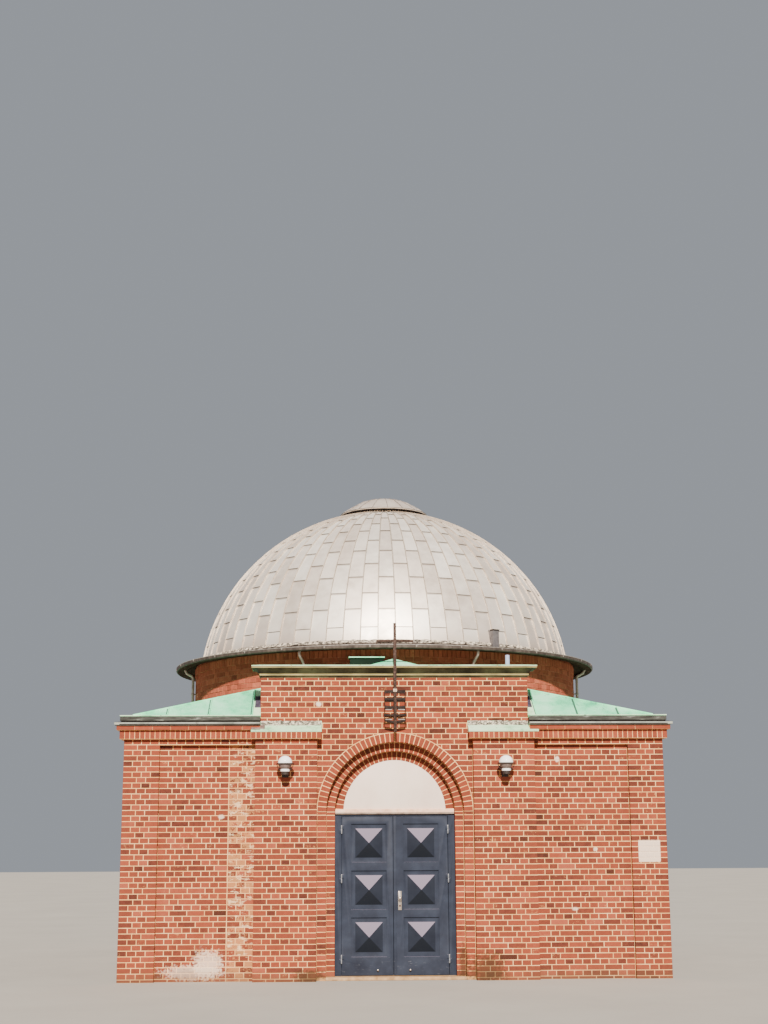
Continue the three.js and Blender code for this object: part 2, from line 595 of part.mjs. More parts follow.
// Drum, eaves ring with its gutter, dome shell and lantern
function buildDome() {
  const split = GAP / DRUM_OUTER;
  const names = ['drum_right', 'drum_back', 'drum_left', 'drum_front'];
  names.forEach((name, i) => {
    const middle = (i * Math.PI) / 2;
    const from = middle - Math.PI / 4 + split;
    const to = middle + Math.PI / 4 - split;
    const plan = [...arcPoints(DRUM_OUTER, from, to, 18), ...arcPoints(DRUM_INNER, to, from, 18)];
    add(name, fromPlan(outline(plan), SLAB_TOP, DRUM_TOP), finishes.brick);
  });

  // Sloping skirt over the drum's top with an open gutter along its edge
  const sheet = 12;
  const rimSheet = 10;
  const sweep = 18;
  add('ring_gutter', turned([[SKIRT_IN + 8.5, DRUM_TOP], [DRUM_OUTER + 25, DRUM_TOP],
    [SKIRT_OUT - 18, GUTTER_EDGE - sweep], [SKIRT_OUT - 3, GUTTER_UNDER], [GUTTER_OUT - sweep, GUTTER_UNDER],
    [GUTTER_OUT, GUTTER_UNDER + 14], [GUTTER_OUT, GUTTER_EDGE], [GUTTER_OUT - rimSheet, GUTTER_EDGE],
    [GUTTER_OUT - sheet, GUTTER_UNDER + 20], [GUTTER_OUT - 26, GUTTER_UNDER + sheet],
    [SKIRT_OUT + sheet, GUTTER_UNDER + sheet], [SKIRT_OUT, SKIRT_EDGE], [SKIRT_IN, SKIRT_TOP],
    [SKIRT_IN + 8.5, DRUM_TOP]], ROUND_STEPS), finishes.gutter);

  const rows = 10;
  const inner = DOME_RADIUS - DOME_THICK;
  const arc = (radius, from, to) => Array.from({ length: rows + 1 }, (_, i) => {
    const angle = from + ((to - from) * i) / rows;
    return [radius * Math.cos(angle), DOME_CENTRE + DOME_FLAT * radius * Math.sin(angle)];
  });
  const footAngle = (radius) => Math.asin((DRUM_TOP - DOME_CENTRE) / (DOME_FLAT * radius));
  const outerArc = arc(DOME_RADIUS, footAngle(DOME_RADIUS), Math.acos(LANTERN_SEAT / DOME_RADIUS));
  const innerArc = arc(inner, Math.acos(OCULUS / inner), footAngle(inner));
  const seat = outerArc[rows][1];
  const shell = [...outerArc, [OCULUS, seat], ...innerArc];
  ['dome_right', 'dome_back', 'dome_left', 'dome_front'].forEach((name, i) => {
    const middle = (i * Math.PI) / 2;
    add(name, turnedPart(shell, middle - Math.PI / 4 + split, middle + Math.PI / 4 - split, ROUND_STEPS / 4),
      finishes.zinc);
  });

  const base = seat + GAP;
  add('lantern', turned([[0, 7965], [OCULUS, base + 45], [OCULUS, base], [LANTERN_SEAT, base],
    [LANTERN_SEAT, base + 52], [775, base + 52], [775, base + 76], [655, 7790], [436, 7918],
    [230, 7984], [110, 8003], [0, 8005]], 24), finishes.zinc);

  // Boxed vent with a flat lid, standing on the skirt against the foot of the dome
  const ventHalf = 58;
  const ventFace = -3278;
  const ventBack = -3080;
  const ventTop = 5240;
  const lidOver = 6;
  const ventTurn = 0.537;
  const vent = join([box(-ventHalf, ventHalf, ventFace, ventBack, 4900, ventTop),
    box(-ventHalf - lidOver, ventHalf + lidOver, ventFace - lidOver, ventBack, ventTop - 8, ventTop + 10)])
    .rotateZ(ventTurn);
  const dome = new THREE.SphereGeometry(DOME_RADIUS + 4, 60, 40).rotateX(Math.PI / 2).scale(1, 1, DOME_FLAT);
  const skirtSlope = (SKIRT_TOP - SKIRT_EDGE) / (SKIRT_OUT - SKIRT_IN);
  const below = turned([[0, 4700], [3700, 4700], [3700, SKIRT_TOP + 1 - skirtSlope * (3700 - SKIRT_IN)],
    [SKIRT_IN, SKIRT_TOP + 1], [0, SKIRT_TOP + 1]], ROUND_STEPS);
  add('dome_vent', cut(vent, [dome.translate(0, 0, DOME_CENTRE), below]), finishes.gutter);
}

// A round pipe along points [distance from the drum's axis, z], turned to its place round the drum
function pipeAt(points, radius, angle) {
  const route = points.map(([r, z]) => new THREE.Vector3(r, 0, z));
  const path = new THREE.CatmullRomCurve3(route, false, 'catmullrom', 0.2);
  const section = outline(arcPoints(radius, 0, 2 * Math.PI * (9 / 10), 9));
  const options = { steps: 15, extrudePath: path, bevelEnabled: false };
  return new THREE.ExtrudeGeometry(section, options).rotateZ(angle);
}

function buildPipes() {
  const top = GUTTER_UNDER - GAP;
  const side = [[3510, top], [3510, 4822], [3490, 4798], [3400, 4745], [3372, 4700], [3372, 4010]];
  const sideAngle = 0.179;
  const sideRadius = 24;
  add('downpipe_right', pipeAt(side, sideRadius, -sideAngle), finishes.pipe);
  add('downpipe_left', pipeAt(side, sideRadius, Math.PI + sideAngle), finishes.pipe);
  const front = [[3560, top], [3560, 4800], [3538, 4775], [3420, 4690], [3385, 4640], [3385, 4440]];
  const frontRadius = 22;
  add('front_elbow_right', pipeAt(front, frontRadius, -Math.PI / 2 + 0.384), finishes.pipe);
  add('front_elbow_left', pipeAt(front, frontRadius, -Math.PI / 2 - 0.418), finishes.pipe);
}

// Globe lamp on an arm from each entrance pier
function buildLamps() {
  const standOff = 170;
  const across = 1622;
  const globeHeight = 3083;
  const globeRadius = 105;
  const ringRadius = 127;
  const socketFoot = 2958;
  const bodyFoot = 2908;
  for (const [side, s] of [['left', -1], ['right', 1]]) {
    const globe = new THREE.SphereGeometry(globeRadius, 20, 12).rotateX(Math.PI / 2)
      .translate(0, -standOff, globeHeight);
    const ring = cylinder(ringRadius, globeHeight - 15, globeHeight - 5, 24).translate(0, -standOff, 0);
    const socket = cylinder(66, socketFoot, globeHeight - 91, 20).translate(0, -standOff, 0);
    const body = cylinder(56, bodyFoot, socketFoot + 2, 20).translate(0, -standOff, 0);
    const arm = box(-14, 14, -standOff, -8, 2922, 2946);
    const plate = box(-50, 50, -12, -GAP, 2880, 2990);
    const lamp = join([globe, ring, socket, body, arm, plate]);
    add(`lamp_${side}`, lamp.translate(s * across, -PIER_FACE, 0), finishes.lamp);
  }
}

// Iron cross on a cage-like bracket over the doorway
function buildCross() {
  const back = -PANEL_FACE - 155;
  const barHalf = 23;
  const barFoot = 3535;
  const barTop = 5165;
  const armReach = 277;
  const armFoot = 4875;
  const armTop = 4910;
  const prongFoot = 4848;
  const bar = box(-barHalf, barHalf, back - 25, back, barFoot, barTop);
  const arms = box(-armReach, armReach, back - 22, back - 2, armFoot, armTop);
  const prongs = [-271, -212, 212, 271].map((x) => box(x - 6, x + 6, back - 22, back - 2, prongFoot,
    armFoot + 5));
  add('cross', join([bar, arms, ...prongs]), finishes.iron);

  const half = 158;
  const flat = 8;
  const band = (z0, z1, over = 0) => box(-half - over, half + over, back, back + flat, z0, z1);
  // A band whose middle hangs lower than its ends
  const sagging = (top, deep, sag, width) => {
    const shape = new THREE.Shape();
    shape.moveTo(-width, top);
    shape.quadraticCurveTo(0, top - 2 * sag, width, top);
    shape.lineTo(width, top - deep);
    shape.quadraticCurveTo(0, top - deep - 2 * sag, -width, top - deep);
    return new THREE.ExtrudeGeometry(shape, { depth: flat, bevelEnabled: false, curveSegments: 10 })
      .rotateX(Math.PI / 2).translate(0, back + flat, 0);
  };
  const cageFoot = 3712;
  const cageTop = 4157;
  const sides = [-1, 1].map((s) => box(s * (half - flat), s * half, back, -PANEL_FACE - GAP, cageFoot,
    cageTop));
  add('cross_bracket', join([...sides, band(4112, cageTop), band(4006, 4046), sagging(3935, 48, 18, half),
    band(3772, 3802, 14), sagging(3735, 40, 30, half)]), finishes.iron);
}

buildFloors();
buildWalls();
buildBlock();
buildDoorway();
buildDoor();
buildEaves();
buildDome();
buildPipes();
buildLamps();
buildCross();

export default chapel;
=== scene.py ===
"""Looks of a small domed funeral chapel of red brick, around its frame.

Metres, +Z up. The origin is on the ground at the middle of the square plan, the entrance faces -Y and
+X is to its right.
"""
import math
import random

import bmesh
import bpy
import numpy as np
from mathutils import Matrix, Vector, noise


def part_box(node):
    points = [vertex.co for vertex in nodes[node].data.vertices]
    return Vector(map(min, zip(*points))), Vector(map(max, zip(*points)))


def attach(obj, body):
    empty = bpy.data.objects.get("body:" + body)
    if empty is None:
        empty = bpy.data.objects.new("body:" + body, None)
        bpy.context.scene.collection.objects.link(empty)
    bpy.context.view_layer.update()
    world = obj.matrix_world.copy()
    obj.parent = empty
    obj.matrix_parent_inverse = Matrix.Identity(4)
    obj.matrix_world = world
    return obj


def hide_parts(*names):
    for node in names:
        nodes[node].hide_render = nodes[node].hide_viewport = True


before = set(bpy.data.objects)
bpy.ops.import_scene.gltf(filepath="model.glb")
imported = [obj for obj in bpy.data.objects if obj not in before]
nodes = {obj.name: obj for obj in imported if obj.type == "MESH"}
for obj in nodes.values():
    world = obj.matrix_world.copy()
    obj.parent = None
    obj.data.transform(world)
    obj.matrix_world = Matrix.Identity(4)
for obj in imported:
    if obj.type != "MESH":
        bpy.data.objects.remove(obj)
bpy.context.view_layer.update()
dice = random.Random(11)

# Faces of the walls, from the middle of the plan
HALF = 4.0
PANEL_FACE = 3.935
PIER_FACE = 4.065
CORNER_PIER = 0.52
PIER_NEAR = 1.158
PIER_FAR = 2.065
BLOCK_HALF = 2.0

# Brickwork: 25 x 12 x 6.5 cm bricks, courses counted down from the bed under the brick-on-edge course
COURSE = 0.0791
JOINT = 0.0115
WALL_TOP = 3.445
BLOCK_TOP = 4.36
BLOCK_SIDE_TOP = 4.29
LOWEST_COURSE = 43
PROUD = 0.004
SPRING = 2.385
SILL = 0.045

# Roofs
EAVE = 4.065
EAVE_TOP = 3.795
ROOF_FOOT = 3.915
ROOF_RISE = 0.2517
HIP_TURN = 0.42
WING_RISE = ROOF_RISE / HIP_TURN
HIP_END = ROOF_FOOT - (ROOF_FOOT - BLOCK_HALF) * HIP_TURN
DRUM_RADIUS = 3.31
DOME_CENTRE = 4.535
DOME_RADIUS = 3.2205
DOME_FLAT = 0.985
DOME_SEAM_AT = 1.05
GORES = 72

FACADE_TURN = {"front": 0, "right": 90, "back": 180, "left": -90}


# modelling by hand

def choose(obj):
    bpy.ops.object.select_all(action="DESELECT")
    obj.select_set(True)
    bpy.context.view_layer.objects.active = obj


def pick(obj, kind, test):
    """Enters edit mode with only the vertices, edges or faces that pass the test selected."""
    choose(obj)
    bpy.ops.object.mode_set(mode="EDIT")
    bpy.ops.mesh.select_mode(type=kind)
    bpy.ops.mesh.select_all(action="DESELECT")
    mesh = bmesh.from_edit_mesh(obj.data)
    for part in {"VERT": mesh.verts, "EDGE": mesh.edges, "FACE": mesh.faces}[kind]:
        if test(part):
            part.select_set(True)
    mesh.select_flush_mode()
    bmesh.update_edit_mesh(obj.data)


def leave_edit():
    bpy.ops.object.mode_set(mode="OBJECT")


def everything(part):
    return True


def block(name, x, y, z, bevel, segments=2):
    """A block between two ends on each axis, its edges rounded."""
    ends = [sorted(pair) for pair in (x, y, z)]
    bpy.ops.object.select_all(action="DESELECT")
    bpy.ops.mesh.primitive_cube_add(size=1, location=[(a + b) / 2 for a, b in ends])
    obj = bpy.context.object
    obj.name = name
    obj.scale = [b - a for a, b in ends]
    bpy.ops.object.transform_apply(location=True, rotation=True, scale=True)
    pick(obj, "EDGE", everything)
    bpy.ops.mesh.bevel(offset=bevel, segments=segments, affect="EDGES")
    leave_edit()
    return obj


def spun(name, outline, steps, start=0.0, angle=math.tau):
    """A closed (radius, height) outline turned about the Z axis."""
    bpy.ops.object.select_all(action="DESELECT")
    bpy.ops.mesh.primitive_plane_add(size=1)
    obj = bpy.context.object
    obj.name = name
    points = [Vector((r * math.cos(start), r * math.sin(start), z)) for r, z in outline]
    pick(obj, "VERT", everything)
    bpy.ops.mesh.merge(type="CENTER")
    bpy.ops.transform.translate(value=points[0])
    for here, there in zip(points, points[1:]):
        bpy.ops.mesh.extrude_region_move(TRANSFORM_OT_translate={"value": there - here})
    bpy.ops.mesh.select_all(action="SELECT")
    bpy.ops.mesh.spin(steps=steps, angle=angle, center=(0, 0, 0), axis=(0, 0, 1))
    bpy.ops.mesh.select_all(action="SELECT")
    bpy.ops.mesh.remove_doubles(threshold=1e-5)
    bpy.ops.mesh.normals_make_consistent(inside=False)
    leave_edit()
    return obj


def moved(obj, matrix):
    obj.data.transform(matrix)
    obj.data.update()
    return obj


def copied(obj, name, matrix):
    """A copy with its own mesh, put in its place."""
    again = bpy.data.objects.new(name, obj.data.copy())
    again.data.transform(matrix)
    bpy.context.scene.collection.objects.link(again)
    return again


def removed(obj):
    bpy.data.objects.remove(obj)


def joined(pile, name):
    """Joins a pile of copies into one piece, a few hundred at a time."""
    group_size = 400
    while len(pile) > 1:
        group, pile = pile[:group_size], pile[group_size:]
        bpy.ops.object.select_all(action="DESELECT")
        for obj in group:
            obj.select_set(True)
        bpy.context.view_layer.objects.active = group[0]
        bpy.ops.object.join()
        pile.append(group[0])
    pile[0].name = name
    return pile[0]


def smoothed(obj, degrees=35):
    choose(obj)
    bpy.ops.object.shade_smooth_by_angle(angle=math.radians(degrees))
    return obj


def modified(obj, kind, **settings):
    """Adds a modifier with its settings and applies it."""
    choose(obj)
    made = obj.modifiers.new(kind.lower(), kind)
    for key, value in settings.items():
        setattr(made, key, value)
    bpy.ops.object.modifier_apply(modifier=made.name)
    return obj


def roughened(obj, amount, size, seed=0.0):
    """Moves each vertex a little, in lumps of about the given size."""
    for vertex in obj.data.vertices:
        here = vertex.co / size + Vector((seed, seed, seed))
        vertex.co += noise.noise_vector(here) * amount
    obj.data.update()
    return obj


def softened(node, name, bevel, segments=2, smooth=35):
    """A copy of a frame piece with clean faces and rounded edges, shown in its place."""
    obj = bpy.data.objects.new(name, nodes[node].data.copy())
    bpy.context.scene.collection.objects.link(obj)
    pick(obj, "VERT", everything)
    bpy.ops.mesh.remove_doubles(threshold=2e-5)
    bpy.ops.mesh.dissolve_limited(angle_limit=math.radians(0.5))
    leave_edit()
    modified(obj, "BEVEL", width=bevel, segments=segments, limit_method="ANGLE",
             angle_limit=math.radians(30))
    smoothed(obj, smooth)
    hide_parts(node)
    return obj


def finished(obj, material, body="building"):
    """Gives a piece its material and the body it moves with."""
    obj.name = obj.name.replace(" ", "_")
    obj.data.materials.clear()
    obj.data.materials.append(material)
    if obj.name not in nodes:
        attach(obj, body)
    return obj


# materials

def linear(code):
    """An sRGB hex colour as linear values."""
    parts = [int(code[i:i + 2], 16) / 255 for i in (1, 3, 5)]
    return tuple(c / 12.92 if c <= 0.04045 else ((c + 0.055) / 1.055) ** 2.4 for c in parts) + (1.0,)


def add_node(tree, kind, inputs=None, stops=None, **settings):
    """Adds a node with its settings; an input is a value, a colour or another node's output."""
    made = tree.nodes.new(kind)
    for key, value in settings.items():
        setattr(made, key, value)
    for socket, value in (inputs or {}).items():
        if isinstance(value, bpy.types.NodeSocket):
            tree.links.new(value, made.inputs[socket])
        elif isinstance(value, str):
            made.inputs[socket].default_value = linear(value)
        else:
            made.inputs[socket].default_value = value
    if stops:
        elements = made.color_ramp.elements
        while len(elements) < len(stops):
            elements.new(0.5)
        for element, (place, code) in zip(elements, stops):
            element.position = place
            element.color = linear(code)
    return made


def new_material(name, roughness, metallic=0.0, **sockets):
    """A material with its Principled shader and the object's own coordinates."""
    made = bpy.data.materials.new(name)
    made.use_nodes = True
    tree = made.node_tree
    shader = tree.nodes["Principled BSDF"]
    shader.inputs["Roughness"].default_value = roughness
    shader.inputs["Metallic"].default_value = metallic
    for key, value in sockets.items():
        shader.inputs[key.replace("_", " ")].default_value = value
    place = add_node(tree, "ShaderNodeTexCoord").outputs["Object"]
    return made, tree, shader, place


def speckle(tree, place, size, detail=3.0, rough=0.55, stretch=None):
    """Cloudy noise whose patches are about `size` metres wide, 0 to 1."""
    if stretch:
        place = add_node(tree, "ShaderNodeMapping", {"Vector": place, "Scale": stretch}).outputs[0]
    made = add_node(tree, "ShaderNodeTexNoise", {"Vector": place, "Scale": 1 / size, "Detail": detail,
                                                "Roughness": rough})
    return made.outputs[0]


def between(tree, value, low, high, to_low=0.0, to_high=1.0):
    """Spreads the values from low to high over a new range, clamped at both ends."""
    return add_node(tree, "ShaderNodeMapRange", {0: value, 1: low, 2: high, 3: to_low, 4: to_high},
                    interpolation_type="SMOOTHSTEP").outputs[0]


def sums(tree, operation, first, second):
    return add_node(tree, "ShaderNodeMath", {0: first, 1: second}, operation=operation).outputs[0]


def blended(tree, share, first, second, mode="MIX"):
    """Mixes two colours by a share from 0 to 1."""
    return add_node(tree, "ShaderNodeMix", {0: share, 6: first, 7: second}, data_type="RGBA",
                    blend_type=mode).outputs[2]


def bumped(tree, shader, height, depth, strength=1.0, under=None):
    """Raises the surface by a height pattern, `depth` in metres."""
    inputs = {"Height": height, "Distance": depth, "Strength": strength}
    if under is not None:
        inputs["Normal"] = under
    made = add_node(tree, "ShaderNodeBump", inputs)
    tree.links.new(made.outputs[0], shader.inputs["Normal"])
    return made.outputs[0]


def near_place(tree, place, centre, reach, ragged=0.25, square=False, soft=0.15):
    """1 inside an oval or a rectangle round a place on the building, 0 outside, with a ragged edge."""
    away = add_node(tree, "ShaderNodeVectorMath", {0: place, 1: centre}, operation="SUBTRACT").outputs[0]
    scaled = add_node(tree, "ShaderNodeVectorMath", {0: away, 1: reach}, operation="DIVIDE").outputs[0]
    if square:
        part = add_node(tree, "ShaderNodeSeparateXYZ", {0: add_node(
            tree, "ShaderNodeVectorMath", {0: scaled}, operation="ABSOLUTE").outputs[0]})
        far = sums(tree, "MAXIMUM", part.outputs[0], sums(tree, "MAXIMUM", part.outputs[1], part.outputs[2]))
    else:
        far = add_node(tree, "ShaderNodeVectorMath", {0: scaled}, operation="LENGTH").outputs["Value"]
    edge = sums(tree, "MULTIPLY_ADD", speckle(tree, place, 0.03, 5.0), ragged)
    edge.node.inputs[2].default_value = -ragged / 2
    return between(tree, sums(tree, "ADD", far, edge), 1.0 - soft, 1.0, 1.0, 0.0)


def weathered_wall(tree, place, colour):
    """Whitewash, salt bloom and dirt on the walls, the same on bricks and joints."""
    chalk = "#EBD3BC"
    spots = [
        ((3.738, -3.99, 1.80), (0.165, 0.2, 0.16), True, 0.08, 0.93),
        ((-2.72, -3.93, 0.24), (0.26, 0.2, 0.24), False, 1.8, 0.65),
        ((-2.95, -3.93, 0.13), (0.52, 0.2, 0.13), False, 1.8, 0.5),
        ((-1.14, -3.93, 3.965), (0.052, 0.1, 0.045), False, 0.9, 0.9),
        ((-1.11, -4.06, 2.905), (0.05, 0.1, 0.05), False, 0.9, 0.8),
        ((2.42, -3.93, 3.14), (0.045, 0.1, 0.055), False, 0.8, 0.85),
        ((2.95, -3.93, 1.83), (0.04, 0.1, 0.04), False, 0.8, 0.7),
        ((2.62, -3.93, 0.98), (0.06, 0.1, 0.03), False, 0.8, 0.6),
        ((-1.60, -3.93, 2.43), (0.06, 0.1, 0.05), False, 0.8, 0.7),
        ((-2.56, -3.93, 2.32), (0.06, 0.1, 0.04), False, 0.8, 0.7),
    ]
    for centre, reach, square, ragged, strength in spots:
        mask = near_place(tree, place, centre, reach, ragged, square, 0.05 if square else 0.5)
        mask = sums(tree, "MULTIPLY", mask, strength)
        colour = blended(tree, mask, colour, chalk)
    strip = near_place(tree, place, (-2.255, -3.93, 1.8), (0.2, 0.1, 1.6), 0.25, True, 0.12)
    smear = between(tree, speckle(tree, place, 0.09, 6.0, 0.7, (0.6, 1, 1.5)), 0.56, 0.61)
    smear = sums(tree, "MULTIPLY", smear, strip)
    colour = blended(tree, sums(tree, "MULTIPLY", smear, 0.75), colour, "#EAC79C")
    height = add_node(tree, "ShaderNodeSeparateXYZ", {0: place}).outputs[2]
    wet = sums(tree, "ADD", height, sums(tree, "MULTIPLY", speckle(tree, place, 0.4, 5.0), 0.25))
    foot = sums(tree, "MULTIPLY", between(tree, wet, 0.12, 0.34, 1.0, 0.0), 0.5)
    colour = blended(tree, foot, colour, "#5E4632")
    for centre, reach in (((1.32, -4.0, 0.14), (0.34, 0.3, 0.34)), ((-1.25, -4.0, 0.06), (0.3, 0.3, 0.14)),
                          ((0.98, -3.9, 0.2), (0.09, 0.3, 0.4))):
        moss = near_place(tree, place, centre, reach, 1.5, False, 0.6)
        colour = blended(tree, sums(tree, "MULTIPLY", moss, 0.7), colour, "#3F3020")
    return colour


def brick_material(name, tones, smear_share):
    """Hard-fired facing brick: matt, sandy and red, every brick burnt a little differently, with darker
    burnt ones among them, small pits, and thin smears of pointing mortar over the edges of some."""
    made, tree, shader, place = new_material(name, 0.9, Specular_IOR_Level=0.07)
    own = add_node(tree, "ShaderNodeAttribute", attribute_name="fired").outputs["Vector"]
    own = add_node(tree, "ShaderNodeSeparateXYZ", {0: own})
    cloud = speckle(tree, place, 0.055, 5.0, 0.6)
    grain = speckle(tree, place, 0.0035, 2.0)
    wide = speckle(tree, place, 1.4, 3.0)
    burn = sums(tree, "ADD", own.outputs[0], sums(tree, "MULTIPLY", sums(tree, "SUBTRACT", cloud, 0.5), 0.5))
    burn = sums(tree, "ADD", burn, sums(tree, "MULTIPLY", sums(tree, "SUBTRACT", wide, 0.5), 0.35))
    colour = add_node(tree, "ShaderNodeValToRGB", {0: burn}, tones).outputs[0]
    shade = between(tree, grain, 0.3, 0.7, 0.86, 1.1)
    shade_colour = add_node(tree, "ShaderNodeCombineXYZ", {0: shade, 1: shade, 2: shade}).outputs[0]
    colour = blended(tree, 1.0, colour, shade_colour, "MULTIPLY")
    mortar = sums(tree, "ADD", speckle(tree, place, 0.045, 6.0, 0.7), own.outputs[1])
    mortar = between(tree, mortar, 0.93, 1.02, 0.0, smear_share)
    colour = blended(tree, mortar, colour, "#E0A468")
    colour = weathered_wall(tree, place, colour)
    tree.links.new(colour, shader.inputs["Base Color"])
    pits = between(tree, speckle(tree, place, 0.012, 4.0, 0.7), 0.28, 0.45)
    under = bumped(tree, shader, pits, 0.0018, 0.9)
    bumped(tree, shader, grain, 0.0006, 0.8, under)
    return made


def pointing_material(name, inside, joints, round_plan=False):
    """Lime mortar in the joints outside, pale and sandy, and smooth lime plaster on the inner faces."""
    made, tree, shader, place = new_material(name, 0.92, Specular_IOR_Level=0.07)
    sand = speckle(tree, place, 0.004, 3.0)
    patch = speckle(tree, place, 0.25, 5.0)
    joint = add_node(tree, "ShaderNodeValToRGB", {0: patch}, joints).outputs[0]
    joint = weathered_wall(tree, place, joint)
    plaster = add_node(tree, "ShaderNodeValToRGB", {0: patch}, [
        (0.3, "#D3CCC0"), (0.7, "#E2DDD3")]).outputs[0]
    part = add_node(tree, "ShaderNodeSeparateXYZ", {0: place})
    if round_plan:
        flat = add_node(tree, "ShaderNodeVectorMath", {0: place, 1: (1, 1, 0)}, operation="MULTIPLY").outputs[0]
        out = add_node(tree, "ShaderNodeVectorMath", {0: flat}, operation="LENGTH").outputs["Value"]
    else:
        sides = [add_node(tree, "ShaderNodeMath", {0: part.outputs[i]}, operation="ABSOLUTE").outputs[0]
                 for i in (0, 1)]
        out = sums(tree, "MAXIMUM", *sides)
    indoors = sums(tree, "LESS_THAN", out, inside)
    colour = blended(tree, indoors, joint, plaster)
    tree.links.new(colour, shader.inputs["Base Color"])
    bumped(tree, shader, sand, 0.0012, 0.6)
    return made


def plain_material(name, tones, roughness, patch, metallic=0.0, grain=0.004, depth=0.0005, spread=0.08,
                   stretch=None, **sockets):
    """A cast or rolled surface: cloudy tones `patch` metres wide, with a fine grain."""
    sockets.setdefault("Specular_IOR_Level", 0.2)
    made, tree, shader, place = new_material(name, roughness, metallic, **sockets)
    cloud = speckle(tree, place, patch, 6.0, 0.6, stretch)
    colour = add_node(tree, "ShaderNodeValToRGB", {0: cloud}, tones).outputs[0]
    tree.links.new(colour, shader.inputs["Base Color"])
    fine = speckle(tree, place, grain, 3.0)
    rough = between(tree, speckle(tree, place, patch * 0.4, 4.0), 0.3, 0.7, roughness - spread,
                    roughness + spread)
    tree.links.new(rough, shader.inputs["Roughness"])
    bumped(tree, shader, fine, depth, 0.7)
    return made


def copper_material(name, light, middle, dark, dark_mark, streak=(1, 1, 1), side_shade=None):
    """Weathered sheet copper: a chalky green crust with brown-black runs where water stands or drips. The
    sideways faces and the ends of the entrance cornice can be darkened towards a colour of painted shade."""
    made, tree, shader, place = new_material(name, 0.78, 0.0, Specular_IOR_Level=0.15)
    cloud = speckle(tree, place, 0.35, 6.0, 0.6, streak)
    crust = speckle(tree, place, 0.02, 4.0, 0.7)
    tone = sums(tree, "ADD", sums(tree, "MULTIPLY", cloud, 0.75), sums(tree, "MULTIPLY", crust, 0.25))
    colour = add_node(tree, "ShaderNodeValToRGB", {0: tone}, [
        (0.34, dark), (0.46, middle), (0.62, light)]).outputs[0]
    drips = speckle(tree, place, 0.09, 5.0, 0.65, (streak[0], streak[1], streak[2] * 0.4))
    drips = between(tree, drips, 0.60, 0.72, 0.0, 0.75)
    colour = blended(tree, drips, colour, dark_mark)
    # Painted shade: sideways faces and the ends of the entrance cornice are darkened
    if side_shade:
        facing = add_node(tree, "ShaderNodeNewGeometry").outputs["True Normal"]
        across = add_node(tree, "ShaderNodeVectorMath", {0: facing}, operation="ABSOLUTE").outputs[0]
        across = add_node(tree, "ShaderNodeSeparateXYZ", {0: across}).outputs[0]
        along = add_node(tree, "ShaderNodeVectorMath", {0: place}, operation="ABSOLUTE").outputs[0]
        along = add_node(tree, "ShaderNodeSeparateXYZ", {0: along}).outputs[0]
        ends = sums(tree, "MAXIMUM", between(tree, across, 0.3, 0.7),
                    between(tree, along, BLOCK_HALF - 0.1, BLOCK_HALF + 0.07, 0.0, 0.8))
        colour = blended(tree, ends, colour, side_shade)
    tree.links.new(colour, shader.inputs["Base Color"])
    under = bumped(tree, shader, cloud, 0.004, 0.35)
    bumped(tree, shader, crust, 0.0009, 0.6, under)
    return made


def dome_sheet_material():
    """Rolled zinc-titanium sheet, dulled by weather: a soft silky sheen, warm grey, each sheet a little
    lighter or darker than the next, with faint vertical runs and slightly uneven flats."""
    made, tree, shader, place = new_material("weathered zinc sheet", 0.44, 0.54)
    own = add_node(tree, "ShaderNodeAttribute", attribute_name="sheet").outputs["Vector"]
    own = add_node(tree, "ShaderNodeSeparateXYZ", {0: own})
    cloud = speckle(tree, place, 0.22, 5.0, 0.6)
    tone = sums(tree, "ADD", sums(tree, "MULTIPLY", cloud, 0.55), sums(tree, "MULTIPLY", own.outputs[0], 0.45))
    colour = add_node(tree, "ShaderNodeValToRGB", {0: tone}, [
        (0.2, "#D4C5B8"), (0.5, "#ECE1D5"), (0.8, "#FCF6EC")]).outputs[0]
    # A dark line at the top of each sheet, under the lap of the next: painted shade of the lap, with some grime
    lap_shade_and_grime = sums(tree, "ADD", own.outputs[2], sums(tree, "MULTIPLY", cloud, 0.05))
    colour = blended(tree, between(tree, lap_shade_and_grime, 0.965, 1.0, 0.0, 0.6), colour, "#6E5F55")
    height = add_node(tree, "ShaderNodeSeparateXYZ", {0: place}).outputs[2]
    low = sums(tree, "ADD", height, sums(tree, "MULTIPLY", cloud, -0.5))
    low = between(tree, low, 4.65, 5.05, 0.5, 0.0)
    colour = blended(tree, low, colour, "#B09A84")
    tree.links.new(colour, shader.inputs["Base Color"])
    rough = between(tree, sums(tree, "ADD", cloud, sums(tree, "MULTIPLY", own.outputs[1], 0.3)),
                    0.3, 0.9, 0.38, 0.5)
    tree.links.new(rough, shader.inputs["Roughness"])
    bumped(tree, shader, speckle(tree, place, 0.35, 2.0), 0.006, 0.35)
    return made


